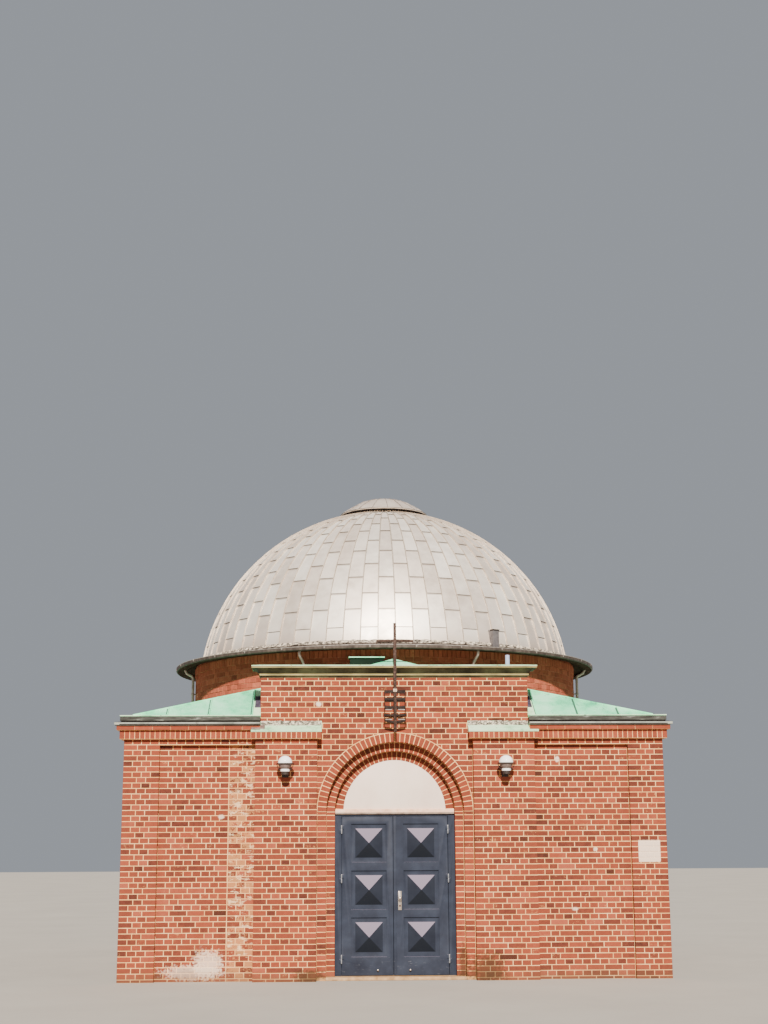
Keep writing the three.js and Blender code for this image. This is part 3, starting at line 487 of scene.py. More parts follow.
def door_paint_material():
    """Blue-grey satin paint on wood: faint brush marks, chalky pale dust on all that faces up, rubbed
    light at the lower edges, with a few scuffs near the ground; faces turned sideways or down are
    painted darker as painted shade."""
    made, tree, shader, place = new_material("blue-grey door paint", 0.55, 0.0, Specular_IOR_Level=0.1)
    cloud = speckle(tree, place, 0.18, 5.0)
    colour = add_node(tree, "ShaderNodeValToRGB", {0: cloud}, [
        (0.3, "#282C38"), (0.5, "#2D323F"), (0.72, "#333947")]).outputs[0]
    facing = add_node(tree, "ShaderNodeNewGeometry").outputs["True Normal"]
    up = add_node(tree, "ShaderNodeSeparateXYZ", {0: facing}).outputs[2]
    across = add_node(tree, "ShaderNodeVectorMath", {0: facing}, operation="ABSOLUTE").outputs[0]
    across = add_node(tree, "ShaderNodeSeparateXYZ", {0: across}).outputs[0]
    # Painted shade: faces turned sideways are darker
    colour = blended(tree, between(tree, across, 0.12, 0.28, 0.0, 0.6), colour, "#11151F")
    dust = speckle(tree, place, 0.05, 5.0)
    dusty = sums(tree, "ADD", up, sums(tree, "MULTIPLY", sums(tree, "SUBTRACT", dust, 0.5), 0.12))
    colour = blended(tree, between(tree, dusty, 0.10, 0.26, 0.0, 0.8), colour, "#8A7F92")
    # Painted shade: faces turned downwards are darker
    colour = blended(tree, between(tree, up, -0.32, -0.12, 0.9, 0.0), colour, "#0C1017")
    height = add_node(tree, "ShaderNodeSeparateXYZ", {0: place}).outputs[2]
    scuff = speckle(tree, place, 0.03, 6.0, 0.75, (0.25, 1, 1.6))
    scuff = sums(tree, "MULTIPLY", between(tree, scuff, 0.62, 0.68, 0.0, 0.6),
                 between(tree, height, 0.15, 0.42, 1.0, 0.06))
    colour = blended(tree, scuff, colour, "#777A84")
    tree.links.new(colour, shader.inputs["Base Color"])
    brush = speckle(tree, place, 0.004, 3.0, 0.6, (1, 1, 0.06))
    bumped(tree, shader, brush, 0.0006, 0.5)
    return made


def flashing_material():
    """Old bedding mortar and flaking grey paint over the flashings: mottled white, grey and near black."""
    made, tree, shader, place = new_material("mottled flashing", 0.85, 0.0, Specular_IOR_Level=0.1)
    flake = speckle(tree, place, 0.035, 5.0, 0.7, (0.7, 0.7, 1.3))
    colour = add_node(tree, "ShaderNodeValToRGB", {0: flake}, [
        (0.36, "#2B2826"), (0.44, "#5A544E"), (0.50, "#8F8579"), (0.60, "#E0D2C0")]).outputs[0]
    tree.links.new(colour, shader.inputs["Base Color"])
    bumped(tree, shader, flake, 0.004, 0.8)
    return made


brick = brick_material("red facing brick", [
    (0.06, "#4C2C23"), (0.2, "#63342A"), (0.42, "#7C3F2F"), (0.65, "#8C4532"), (0.9, "#9B523E")], 0.4)
drum_brick = brick_material("orange-red drum brick", [
    (0.1, "#7A3B2F"), (0.3, "#934A3A"), (0.55, "#A95744"), (0.8, "#BA6650"), (0.95, "#C6765E")], 0.35)
pointing = pointing_material("pale lime pointing", 3.57, [
    (0.25, "#C9935C"), (0.45, "#E4AC72"), (0.7, "#F0C38F")])
drum_pointing = pointing_material("drum pointing", 2.95, [
    (0.25, "#94543E"), (0.45, "#B06C52"), (0.7, "#C28066")], True)
concrete = plain_material("trowelled concrete", [
    (0.3, "#A8A196"), (0.55, "#B9B3A8"), (0.75, "#C8C2B8")], 0.82, 0.3, depth=0.001)
plaster = plain_material("smooth white plaster", [
    (0.25, "#DFC8B8"), (0.5, "#E8D4C6"), (0.75, "#EEDCD0")], 0.75, 0.45, depth=0.0004,
    stretch=(1, 1, 0.6))
stone = plain_material("pale cast stone", [
    (0.25, "#CBA184"), (0.5, "#ECC2A5"), (0.75, "#F6D6BE")], 0.82, 0.09, depth=0.0012)
# Darker stone colour for the painted shade along the underside of the lintel
lintel_shade_stone = plain_material("painted shade under the lintel", [
    (0.3, "#6E5F55"), (0.6, "#8E7E72")], 0.85, 0.1)
step_stone = plain_material("trodden sandstone", [
    (0.3, "#8A6A48"), (0.5, "#AF8C66"), (0.7, "#C9A881")], 0.9, 0.12)
green_copper = copper_material("green copper", "#A0EBC2", "#74DAA6", "#48B486", "#35735A")
# The last colour of the olive copper is painted shade on its sideways faces and ends
olive_copper = copper_material("olive copper", "#747556", "#57533E", "#3B362B", "#2A251D", (1, 1, 0.5),
                               "#3A2A2C")
cover_copper = copper_material("dulled copper cover", "#A3A79C", "#8C8F86", "#6A6E66", "#4A4C46")
drip_copper = copper_material("washed copper edge", "#CFE8C8", "#B4DFB4", "#7BAA86", "#4B5F4C")
fascia_zinc = plain_material("grey fascia sheet", [
    (0.28, "#252421"), (0.45, "#3D3D38"), (0.6, "#4F4F4A"), (0.74, "#979C91")], 0.62, 0.05, 0.25,
    stretch=(0.25, 0.25, 1.6))
zinc_sheet = dome_sheet_material()
zinc_seam = plain_material("folded zinc seam", [
    (0.3, "#AB9C8D"), (0.6, "#CBBDAE"), (0.8, "#DED3C6")], 0.45, 0.12, 0.3)
# Near-black zinc: on the ring gutter it is painted shade on the underside; the keyhole cover is dark zinc
dark_zinc_gutter_shade = plain_material("dark old gutter zinc", [
    (0.3, "#24130F"), (0.5, "#3B2420"), (0.7, "#583E38")], 0.8, 0.07, stretch=(1, 1, 0.4),
    Specular_IOR_Level=0.02)
gutter_zinc = plain_material("brown-grey gutter zinc", [
    (0.25, "#332B29"), (0.5, "#4E4440"), (0.75, "#6C605A")], 0.6, 0.07, 0.3, stretch=(1, 1, 0.4))
worn_zinc = plain_material("worn zinc edge", [
    (0.3, "#665E5A"), (0.5, "#8A817C"), (0.7, "#AAA19B")], 0.5, 0.05, 0.3)
# Dark green for the painted shadow strips beside the roof seams
seam_shadow_paint = plain_material("painted shadow beside seams", [
    (0.3, "#2C4A3C"), (0.6, "#42695A")], 0.8, 0.06)
pale_olive = plain_material("pale olive copper", [
    (0.3, "#6B6342"), (0.5, "#8E8356"), (0.7, "#A99A68")], 0.7, 0.08, stretch=(0.3, 0.3, 1))
# Dark zinc; on the shade lines, the gaps beside the dome seams and the recessed fascia it is painted shade
dark_zinc = plain_material("dark zinc and painted shade", [
    (0.3, "#221E1D"), (0.7, "#3A3432")], 0.6, 0.05, 0.3)
cornice_shadow_sheet = plain_material("bluish painted shadow sheet", [
    (0.3, "#2C2630"), (0.5, "#423A48"), (0.7, "#5C5464")], 0.6, 0.09, 0.1)
vent_sheet = plain_material("grey vent sheet", [(0.3, "#5E5B5D"), (0.6, "#7D797B")], 0.5, 0.07, 0.3)
lead_sheet = plain_material("dull lead sheet", [(0.3, "#6A5752"), (0.6, "#8F7B74")], 0.6, 0.08, 0.3)
pipe_zinc = plain_material("dull pipe zinc", [
    (0.3, "#A08784"), (0.5, "#B79C99"), (0.7, "#CAAFAC")], 0.5, 0.06, 0.2)
iron = plain_material("rusted wrought iron", [
    (0.3, "#271B17"), (0.5, "#3C2C26"), (0.65, "#55423A"), (0.8, "#6B5347")], 0.62, 0.03, 0.35,
    grain=0.006, depth=0.0012)
dark_iron = plain_material("sooty wrought iron", [
    (0.3, "#1A1311"), (0.6, "#2D211D"), (0.8, "#44342D")], 0.65, 0.03, 0.3, grain=0.006, depth=0.0012)
pale_iron = plain_material("chalky painted iron", [
    (0.3, "#A3917B"), (0.6, "#DCC8B0")], 0.6, 0.03, 0.1, depth=0.0008)
door_paint = door_paint_material()
steel = plain_material("brushed stainless steel", [
    (0.3, "#A89C92"), (0.7, "#D2C6BC")], 0.34, 0.01, 0.7, stretch=(1, 1, 0.1))
hinge_steel = plain_material("galvanised hinge steel", [
    (0.3, "#74787E"), (0.7, "#A9ACB0")], 0.45, 0.01, 0.5)
opal = plain_material("opal lamp glass", [(0.3, "#FAFAFA"), (0.7, "#FFFFFF")], 0.16, 0.1, grain=0.05,
                      depth=0.0001, spread=0.03, Coat_Weight=0.4)
lamp_glass_dust_and_shade = plain_material("dusty lamp glass with painted shade", [(0.3, "#6B5C57"), (0.6, "#87756F"), (0.8, "#A2918B")],
                           0.35, 0.04)
lamp_dark = plain_material("dark lamp fitting", [(0.3, "#2B2523"), (0.7, "#3F3733")], 0.5, 0.03)
flashing = flashing_material()
white_pipe = plain_material("white plastic pipe", [(0.3, "#8F98B8"), (0.7, "#B5BEDA")], 0.35, 0.08)
hatch_copper = copper_material("dark copper box", "#13241B", "#0D1A14", "#08110D", "#060B09")


# frame pieces that stay as they are

for name in ("left_wall", "right_wall", "back_wall", "front_wall_left", "front_wall_right",
             "entrance_pier_left", "entrance_pier_right", "entrance_wall", "block_side_wall_left",
             "block_side_wall_right", "door_jamb_left", "door_jamb_right", "outer_arch", "middle_arch",
             "inner_arch", "brick_cornice"):
    finished(nodes[name], pointing)
for name in ("drum_right", "drum_back", "drum_left", "drum_front"):
    finished(nodes[name], drum_pointing)
for name in ("floor", "ceiling_slab"):
    finished(nodes[name], concrete)
# Under the sheets the frame's dome is dark zinc, which shows in the gaps beside the seams as painted shade
for name in ("dome_right", "dome_back", "dome_left", "dome_front"):
    finished(nodes[name], dark_zinc)
finished(softened("tympanum", "plaster field", 0.002), plaster)
finished(roughened(softened("lintel", "stone lintel", 0.006, 3), 0.0015, 0.05), stone)
# A darker strip along the lower edge of the lintel: painted shade under its nose
under = block("lintel shade strip", (-0.887, 0.887), (-3.7266, -3.72), (2.353, 2.378), 0.002)
finished(under, lintel_shade_stone)
finished(softened("threshold", "stone threshold", 0.008, 3), step_stone)


# bricks

def model_brick():
    """A brick with the edges of its outer face worn round; that face looks to -Y."""
    bpy.ops.object.select_all(action="DESELECT")
    bpy.ops.mesh.primitive_cube_add(size=1)
    obj = bpy.context.object
    obj.scale = (0.12, 0.07, 0.068)
    bpy.ops.object.transform_apply(location=True, rotation=True, scale=True)
    pick(obj, "EDGE", lambda edge: all(v.co.y < 0 for v in edge.verts))
    bpy.ops.mesh.bevel(offset=0.0028, segments=1, affect="EDGES")
    leave_edit()
    return obj


brick_pattern = model_brick()
brick_points = np.empty(len(brick_pattern.data.vertices) * 3)
brick_pattern.data.vertices.foreach_get("co", brick_points)
brick_points = brick_points.reshape(-1, 3)
brick_half = np.array([0.06, 0.035, 0.034])
brick_pattern.data.attributes.new("fired", "FLOAT_VECTOR", "POINT")
WHOLE = Matrix.Identity(4)


def lay(pile, place, x, y, z, taper=0.0, smear=0.0, tone=0.0, even=1.0):
    """Adds a brick between two ends, from its face back and from bed to bed. A small `even` keeps its
    firing close to that of its neighbours."""
    low = np.array([x[0], y[0], z[0]])
    high = np.array([x[1], y[1], z[1]])
    jolt = dice.uniform(-0.0008, 0.0008)
    points = np.where(brick_points < 0, brick_points + brick_half + low, brick_points - brick_half + high)
    points[:, 0] += np.where(brick_points[:, 2] > 0, np.sign(brick_points[:, 0]) * taper, 0)
    points[:, 1] += np.where(brick_points[:, 1] < 0, jolt, 0)
    turn = np.array(place)
    points = points @ turn[:3, :3].T + turn[:3, 3]
    mesh = brick_pattern.data.copy()
    mesh.vertices.foreach_set("co", points.ravel())
    burnt = dice.random()
    heat = dice.gauss(0.6, 0.13) if burnt > 0.3 else dice.gauss(0.34, 0.1)
    heat = 0.55 + (heat - 0.55) * even
    spread = dice.uniform(0.0, 0.38) + smear
    mesh.attributes["fired"].data.foreach_set("vector", [heat + tone, spread, dice.random()] * len(points))
    obj = bpy.data.objects.new("brick", mesh)
    bpy.context.scene.collection.objects.link(obj)
    pile.append(obj)


def heads_in(count, pattern):
    """Brick lengths across one bay, counted in headers."""
    if pattern == "headers":
        return [1] * count
    inner = count - 3
    if inner % 2:
        middle = [1] + [2] * (inner // 2) if pattern == "first" else [2] * (inner // 2) + [1]
    elif pattern == "first":
        middle = [2] * (inner // 2)
    else:
        middle = [1] + [2] * (inner // 2 - 1) + [1]
    return [1.5] + middle + [1.5]


def bed(course):
    """Bottom and top of a course; the lowest is cut at the ground."""
    top = WALL_TOP - course * COURSE
    return max(top - COURSE + JOINT / 2, 0.004), top - JOINT / 2


def row(pile, place, ends, count, pattern, z, face, back, smear=0.0):
    """One course of bricks across a bay."""
    pitch = (ends[1] - ends[0] + JOINT) / count
    x = ends[0]
    for heads in heads_in(count, pattern):
        nudge = dice.uniform(-0.0012, 0.0012)
        end = x + heads * pitch - JOINT
        last = end > ends[1] - 0.01
        lay(pile, place, (x, end if last else end + nudge), (-face, -back), z, smear=smear)
        x = end + JOINT + (0 if last else nudge)


def bond_pattern(course, odd_headers=False):
    """English cross bond: header courses alternate with stretcher courses that shift by half a brick."""
    if (course % 2 == 0) != odd_headers:
        return "headers"
    return "first" if (course + (1 if odd_headers else 0)) % 4 == 1 else "second"


def facade(pile, side, odd_headers, pilaster_face=HALF):
    """The blind walls: corner piers, panels between piers and the band over the panels."""
    turn = Matrix.Rotation(math.radians(FACADE_TURN[side]), 4, "Z")
    front = side == "front"
    pier_edge = HALF - CORNER_PIER
    over = 0.003
    for course in range(0, LOWEST_COURSE + 1):
        z = bed(course)
        pattern = bond_pattern(course, odd_headers)
        for s in (-1, 1):
            def bay(a, b, count, face, back, smear=0.0):
                ends = sorted((s * a, s * b))
                row(pile, turn, ends, count, pattern, z, face + PROUD, back, smear)
            if course == 0:
                bay(PIER_FAR + JOINT / 2 if front else PIER_FAR - 0.907 - JOINT / 2, HALF,
                    15 if front else 22, HALF, PANEL_FACE)
                continue
            bay(pier_edge - over, HALF, 4, HALF, PANEL_FACE)
            if front and s < 0:
                bay(2.455 + JOINT / 2, pier_edge - JOINT / 2, 8, PANEL_FACE, PANEL_FACE - 0.012)
                bay(PIER_FAR + JOINT / 2, 2.455 - JOINT / 2, 3, PANEL_FACE, PANEL_FACE - 0.012, 0.25)
            else:
                bay(PIER_FAR + JOINT / 2, pier_edge - JOINT / 2, 11, PANEL_FACE, PANEL_FACE - 0.012)
            if front:
                bay(PIER_NEAR - over, PIER_FAR + over, 7, PIER_FACE, PANEL_FACE)
            else:
                bay(PIER_NEAR - over, PIER_FAR + over, 7, pilaster_face, PANEL_FACE)
        if front:
            if course == 0:
                for s in (-1, 1):
                    ends = sorted((s * (PIER_NEAR - over), s * (PIER_FAR + over)))
                    row(pile, turn, ends, 7, pattern, z, PIER_FACE + PROUD, PANEL_FACE)
        elif course == 0:
            row(pile, turn, (-PIER_NEAR + JOINT / 2, PIER_NEAR - JOINT / 2), 18, pattern, z, HALF + PROUD,
                PANEL_FACE)
        else:
            row(pile, turn, (-PIER_NEAR + JOINT / 2, PIER_NEAR - JOINT / 2), 18, pattern, z,
                PANEL_FACE + PROUD, PANEL_FACE - 0.012)


def entrance_face(pile):
    """Wall over the doorway: runs under the outer ring of the arch, whose joints cover the cut ends."""
    head = 0.1268
    ring = 1.13
    for course in range(-12, 14):
        low, high = bed(course)
        if course < 0:
            edge = BLOCK_HALF
        else:
            edge = PIER_NEAR - JOINT / 2
        high = min(high, BLOCK_TOP - 0.003)
        if course % 2:
            step, shift = head, head / 2
        else:
            step, shift = 2 * head, 0.0 if course % 4 == 2 else head
        rise = (low + high) / 2 - SPRING
        cut = math.sqrt(max(ring ** 2 - rise ** 2, 0.0)) if rise > 0 else ring
        if low - SPRING > 1.155:
            cut = 0.0
        spans = [(-edge, edge)] if cut == 0 else [(-edge, -cut), (cut, edge)]
        for start, end in spans:
            if end - start < 0.03:
                continue
            joints = [shift + n * step for n in range(-20, 21)]
            inside = [j for j in joints if start + 0.055 < j < end - 0.055]
            places = [start - JOINT / 2] + inside + [end + JOINT / 2]
            for a, b in zip(places, places[1:]):
                lay(pile, WHOLE, (a + JOINT / 2, b - JOINT / 2), (-PANEL_FACE - PROUD, -PANEL_FACE + 0.012),
                    (low, high))


def block_returns(pile):
    """Short side faces of the entrance block over the wing roofs, back to the hips."""
    for s, side in ((-1, "left"), (1, "right")):
        turn = Matrix.Rotation(math.radians(FACADE_TURN[side]), 4, "Z")
        for course in range(-12, 0):
            low, high = bed(course)
            high = min(high, BLOCK_TOP - 0.003)
            if low < 3.79:
                continue
            pattern = "headers" if course % 2 == 0 else "first"
            ends = (-PANEL_FACE, -3.56) if s > 0 else (3.56, PANEL_FACE)
            row(pile, turn, ends, 3, pattern, (low, high), BLOCK_HALF + PROUD, BLOCK_HALF - 0.05)
            if high < BLOCK_SIDE_TOP:
                ends = (-3.55, -3.2) if s > 0 else (3.2, 3.55)
                row(pile, turn, ends, 3, pattern, (low, high), BLOCK_HALF + PROUD, BLOCK_HALF - 0.05)


def stood_on_edge(pile, place, ends, z, face, back, pitch=0.0752, joint=0.0095):
    """A course of bricks on edge."""
    count = round((ends[1] - ends[0]) / pitch)
    pitch = (ends[1] - ends[0] + joint) / count
    for i in range(count):
        x = ends[0] + i * pitch
        lay(pile, place, (x, x + pitch - joint), (-face, -back), z, smear=-0.25, tone=0.1, even=0.5)


def cornice_courses(edge_pile, plain_pile):
    """Brick-on-edge course and the plain course over it, round three sides and both wing fronts."""
    face = HALF + 0.062
    top_face = HALF + 0.105
    for side, degrees in FACADE_TURN.items():
        turn = Matrix.Rotation(math.radians(degrees), 4, "Z")
        if side == "front":
            edge_spans = [(-face, -2.137), (2.137, face)]
            top_spans = [(-top_face, -2.003), (2.003, top_face)]
        else:
            edge_spans = [(-face, face)]
            top_spans = [(-top_face, top_face)]
        for ends in edge_spans:
            stood_on_edge(edge_pile, turn, ends, (WALL_TOP + 0.004, 3.571), face + PROUD, face - 0.066)
        for ends in top_spans:
            count = round((ends[1] - ends[0]) / 0.25)
            pitch = (ends[1] - ends[0] + 0.004) / count
            for i in range(count):
                x = ends[0] + i * pitch
                lay(plain_pile, turn, (x, x + pitch - 0.004), (-top_face - PROUD, -top_face + 0.04),
                    (3.5765, 3.6385), smear=-0.15, tone=0.12, even=0.6)


def pier_heads(pile):
    """Brick-on-edge heads of the two entrance piers, with their short returns."""
    out = 0.062
    z = (WALL_TOP + 0.004, 3.537)
    for s in (-1, 1):
        ends = sorted((s * (PIER_NEAR - out), s * (PIER_FAR + out)))
        stood_on_edge(pile, WHOLE, ends, z, PIER_FACE + out + PROUD, PIER_FACE + out - 0.06)
        for edge, way in ((PIER_NEAR - out, -s), (PIER_FAR + out, s)):
            turn = Matrix.Rotation(math.radians(90 * way), 4, "Z")
            start, end = -PIER_FACE - out, -PANEL_FACE - 0.004
            span = (start, end) if way > 0 else (-end, -start)
            face = edge if way == s else -edge
            stood_on_edge(pile, turn, span, z, face + PROUD, face - 0.06)


def jambs(pile):
    """Stepped door jambs, one brick wide on each step, with faces and returns."""
    middle_face = PANEL_FACE - 0.12
    for course in range(13, LOWEST_COURSE + 1):
        low, high = bed(course)
        low = max(low, SILL + 0.003)
        high = min(high, SPRING - 0.004)
        if high - low < 0.015:
            continue
        for s in (-1, 1):
            outer = sorted((s * 1.0165, s * (PIER_NEAR - 0.008)))
            lay(pile, WHOLE, outer, (-PANEL_FACE - PROUD, -middle_face - 0.008), (low, high))
            inner = sorted((s * 0.8895, s * 1.0125))
            lay(pile, WHOLE, inner, (-middle_face - PROUD, -3.7), (low, high))


def arch_ring(pile, count, inner, outer, face, back, foot=0.0):
    """One ring of wedge-shaped bricks over the doorway."""
    joint = 0.0105
    first = math.asin(foot / ((inner + outer) / 2))
    step = (math.pi - 2 * first) / count
    for i in range(count):
        angle = math.pi / 2 - first - (i + 0.5) * step
        place = Matrix.Translation((0, 0, SPRING)) @ Matrix.Rotation(angle, 4, "Y")
        narrow = inner * step - joint
        wide = outer * step - joint
        lay(pile, place, (-narrow / 2, narrow / 2), (-face, -back), (inner, outer), (wide - narrow) / 2,
            smear=-0.25, even=0.45)


def arch_bed():
    """Mortar behind the outer ring and in the joint round it, a little proud of the wall bricks."""
    bpy.ops.object.select_all(action="DESELECT")
    inner, outer = 1.0185, 1.158
    front, back = -PANEL_FACE - PROUD - 0.0015, -PANEL_FACE + 0.01
    bpy.ops.mesh.primitive_plane_add(size=1, location=((inner + outer) / 2, (front + back) / 2, SPRING))
    obj = bpy.context.object
    obj.name = "arch mortar"
    obj.scale = (outer - inner, back - front, 1)
    bpy.ops.object.transform_apply(location=True, rotation=True, scale=True)
    pick(obj, "FACE", everything)
    bpy.ops.mesh.spin(steps=64, angle=math.pi, center=(0, 0, SPRING), axis=(0, 1, 0))
    bpy.ops.mesh.select_all(action="SELECT")
    bpy.ops.mesh.remove_doubles(threshold=1e-5)
    bpy.ops.mesh.normals_make_consistent(inside=False)
    leave_edit()
    return obj


def roof_over(x, y):
    """Height of the roofs where they meet the drum."""
    if y < 0 and abs(x) < BLOCK_HALF:
        return max(4.689 - 0.36 * abs(x), 4.383 - 0.046 * (abs(x) - 0.85))
    out = abs(x) if y < 0 else max(abs(x), y)
    return EAVE_TOP + (ROOF_FOOT - out) * ROOF_RISE


def drum_rows(pile):
    """Header courses of the round drum, with a soldier course standing proud under the gutter."""
    count = 160
    pitch = math.tau / count
    course_top = 4.749
    half_head = DRUM_RADIUS * pitch / 2 - 0.004
    for j in range(10):
        high = course_top - j * COURSE
        low = high - COURSE + 0.008
        for i in range(count):
            angle = (i + 0.5 * (j % 2)) * pitch
            if high < roof_over(DRUM_RADIUS * math.sin(angle), -DRUM_RADIUS * math.cos(angle)) + 0.012:
                continue
            place = Matrix.Rotation(angle, 4, "Z")
            lay(pile, place, (-half_head, half_head), (-DRUM_RADIUS - PROUD, -DRUM_RADIUS + 0.02), (low, high),
                even=0.8)
    soldiers = 276
    pitch = math.tau / soldiers
    half = DRUM_RADIUS * pitch / 2 - 0.0035
    for i in range(soldiers):
        place = Matrix.Rotation(i * pitch, 4, "Z")
        lay(pile, place, (-half, half), (-DRUM_RADIUS - 0.016, -DRUM_RADIUS + 0.02), (4.755, 4.879),
            tone=0.05, even=0.6)
        lay(pile, place, (-half, half), (-DRUM_RADIUS - PROUD, -DRUM_RADIUS + 0.02), (4.887, 4.912), even=0.6)


def lay_all_bricks():
    walls = {"front wing brickwork": ("front", False), "right side brickwork": ("right", True),
             "back brickwork": ("back", False), "left side brickwork": ("left", True)}
    for name, (side, odd_headers) in walls.items():
        pile = []
        facade(pile, side, odd_headers)
        finished(joined(pile, name), brick)
    pile = []
    entrance_face(pile)
    block_returns(pile)
    finished(joined(pile, "entrance wall brickwork"), brick)
    pile = []
    jambs(pile)
    finished(joined(pile, "door jamb brickwork"), brick)
    pile = []
    arch_ring(pile, 46, 1.0165, 1.1475, PANEL_FACE + PROUD + 0.004, PANEL_FACE - 0.112)
    arch_ring(pile, 40, 0.8895, 1.0095, PANEL_FACE - 0.12 + PROUD, PANEL_FACE - 0.232)
    arch_ring(pile, 35, 0.7615, 0.8835, PANEL_FACE - 0.24 + PROUD, PANEL_FACE - 0.30, 0.043)
    finished(joined(pile, "arch brickwork"), brick)
    finished(arch_bed(), pointing)
    edge_pile, plain_pile = [], []
    cornice_courses(edge_pile, plain_pile)
    pier_heads(edge_pile)
    finished(joined(edge_pile, "brick on edge course"), brick)
    finished(joined(plain_pile, "plain top course"), brick)
    pile = []
    drum_rows(pile)
    finished(joined(pile, "drum brickwork"), drum_brick)
    removed(brick_pattern)


# dome and lantern

def dome_sheet(low, high):
    """One sheet of a gore, flat across and curved up, its lower edge lapping over the sheet below."""
    bpy.ops.object.select_all(action="DESELECT")
    bpy.ops.mesh.primitive_grid_add(x_subdivisions=2, y_subdivisions=7, size=1)
    obj = bpy.context.object
    across = math.radians(360 / GORES / 2)
    seam = 0.009
    lap = 0.012
    for vertex in obj.data.vertices:
        u, v = vertex.co.x * 2, vertex.co.y + 0.5
        elevation = low + (high - low) * v
        lift = lap * (1 - v) ** 2 + 0.0025 * (1 - u * u) * 4 * v * (1 - v) + 0.0015
        radius = DOME_RADIUS + lift
        e = math.radians(elevation)
        wide = radius * math.cos(e) * math.tan(across) - seam
        vertex.co = Vector((u * wide, -radius * math.cos(e), DOME_CENTRE + DOME_FLAT * radius * math.sin(e)))
    modified(obj, "SOLIDIFY", thickness=0.0022, offset=-1.0)
    pick(obj, "VERT", everything)
    bpy.ops.mesh.normals_make_consistent(inside=False)
    leave_edit()
    obj.data.attributes.new("sheet", "FLOAT_VECTOR", "POINT")
    return smoothed(obj, 25)


def dome_rib(foot, top):
    """A standing seam from the foot of the dome to the lantern, narrower at its folded edge."""
    bpy.ops.object.select_all(action="DESELECT")
    bpy.ops.mesh.primitive_cube_add(size=1)
    rib = bpy.context.object
    pick(rib, "EDGE", lambda edge: abs(edge.verts[0].co.z - edge.verts[1].co.z) > 0.5)
    bpy.ops.mesh.subdivide(number_cuts=26)
    leave_edit()
    for vertex in rib.data.vertices:
        outer = vertex.co.y < 0
        half = 0.004 if outer else 0.0065
        side = half if vertex.co.x > 0 else -half
        e = math.radians(foot + (top - foot) * (vertex.co.z + 0.5))
        radius = DOME_RADIUS + (0.024 if outer else -0.002)
        vertex.co = Vector((side, -radius * math.cos(e), DOME_CENTRE + DOME_FLAT * radius * math.sin(e)))
    return smoothed(rib, 30)


def clad_dome():
    pile = []
    pitch = 10.98
    foot, top = 8.3, 77.0
    for column, first in enumerate((18.68, 12.97)):
        joints = [foot] + [first + n * pitch for n in range(8) if first + n * pitch < top - 2] + [top]
        for low, high in zip(joints, joints[1:]):
            pattern = dome_sheet(low, high)
            points = np.empty(len(pattern.data.vertices) * 3)
            pattern.data.vertices.foreach_get("co", points)
            points = points.reshape(-1, 3)
            rise = (points[:, 2] - DOME_CENTRE) / DOME_FLAT
            values = np.zeros((len(points), 3))
            values[:, 2] = (np.degrees(np.arctan2(rise, -points[:, 1])) - low) / (high - low)
            for gore in range(column, GORES, 2):
                azimuth = DOME_SEAM_AT - 2.5 + 5 * gore
                obj = copied(pattern, "sheet", Matrix.Rotation(math.radians(azimuth), 4, "Z"))
                values[:, 0] = dice.random()
                values[:, 1] = dice.random()
                obj.data.attributes["sheet"].data.foreach_set("vector", values.ravel())
                pile.append(obj)
            removed(pattern)
    finished(joined(pile, "dome sheets"), zinc_sheet)
    rib = dome_rib(foot, top)
    pile = [copied(rib, "rib", Matrix.Rotation(math.radians(DOME_SEAM_AT + 5 * i), 4, "Z"))
            for i in range(GORES)]
    removed(rib)
    finished(joined(pile, "dome seams"), zinc_seam)
    apron = spun("dome foot flashing", [(3.16, 4.983), (3.224, 4.983), (3.228, 4.992), (3.219, 5.01),
                                       (3.207, 5.03), (3.198, 5.04), (3.16, 5.04), (3.16, 4.983)], 360)
    roughened(apron, 0.014, 0.035)
    finished(smoothed(apron, 60), flashing)


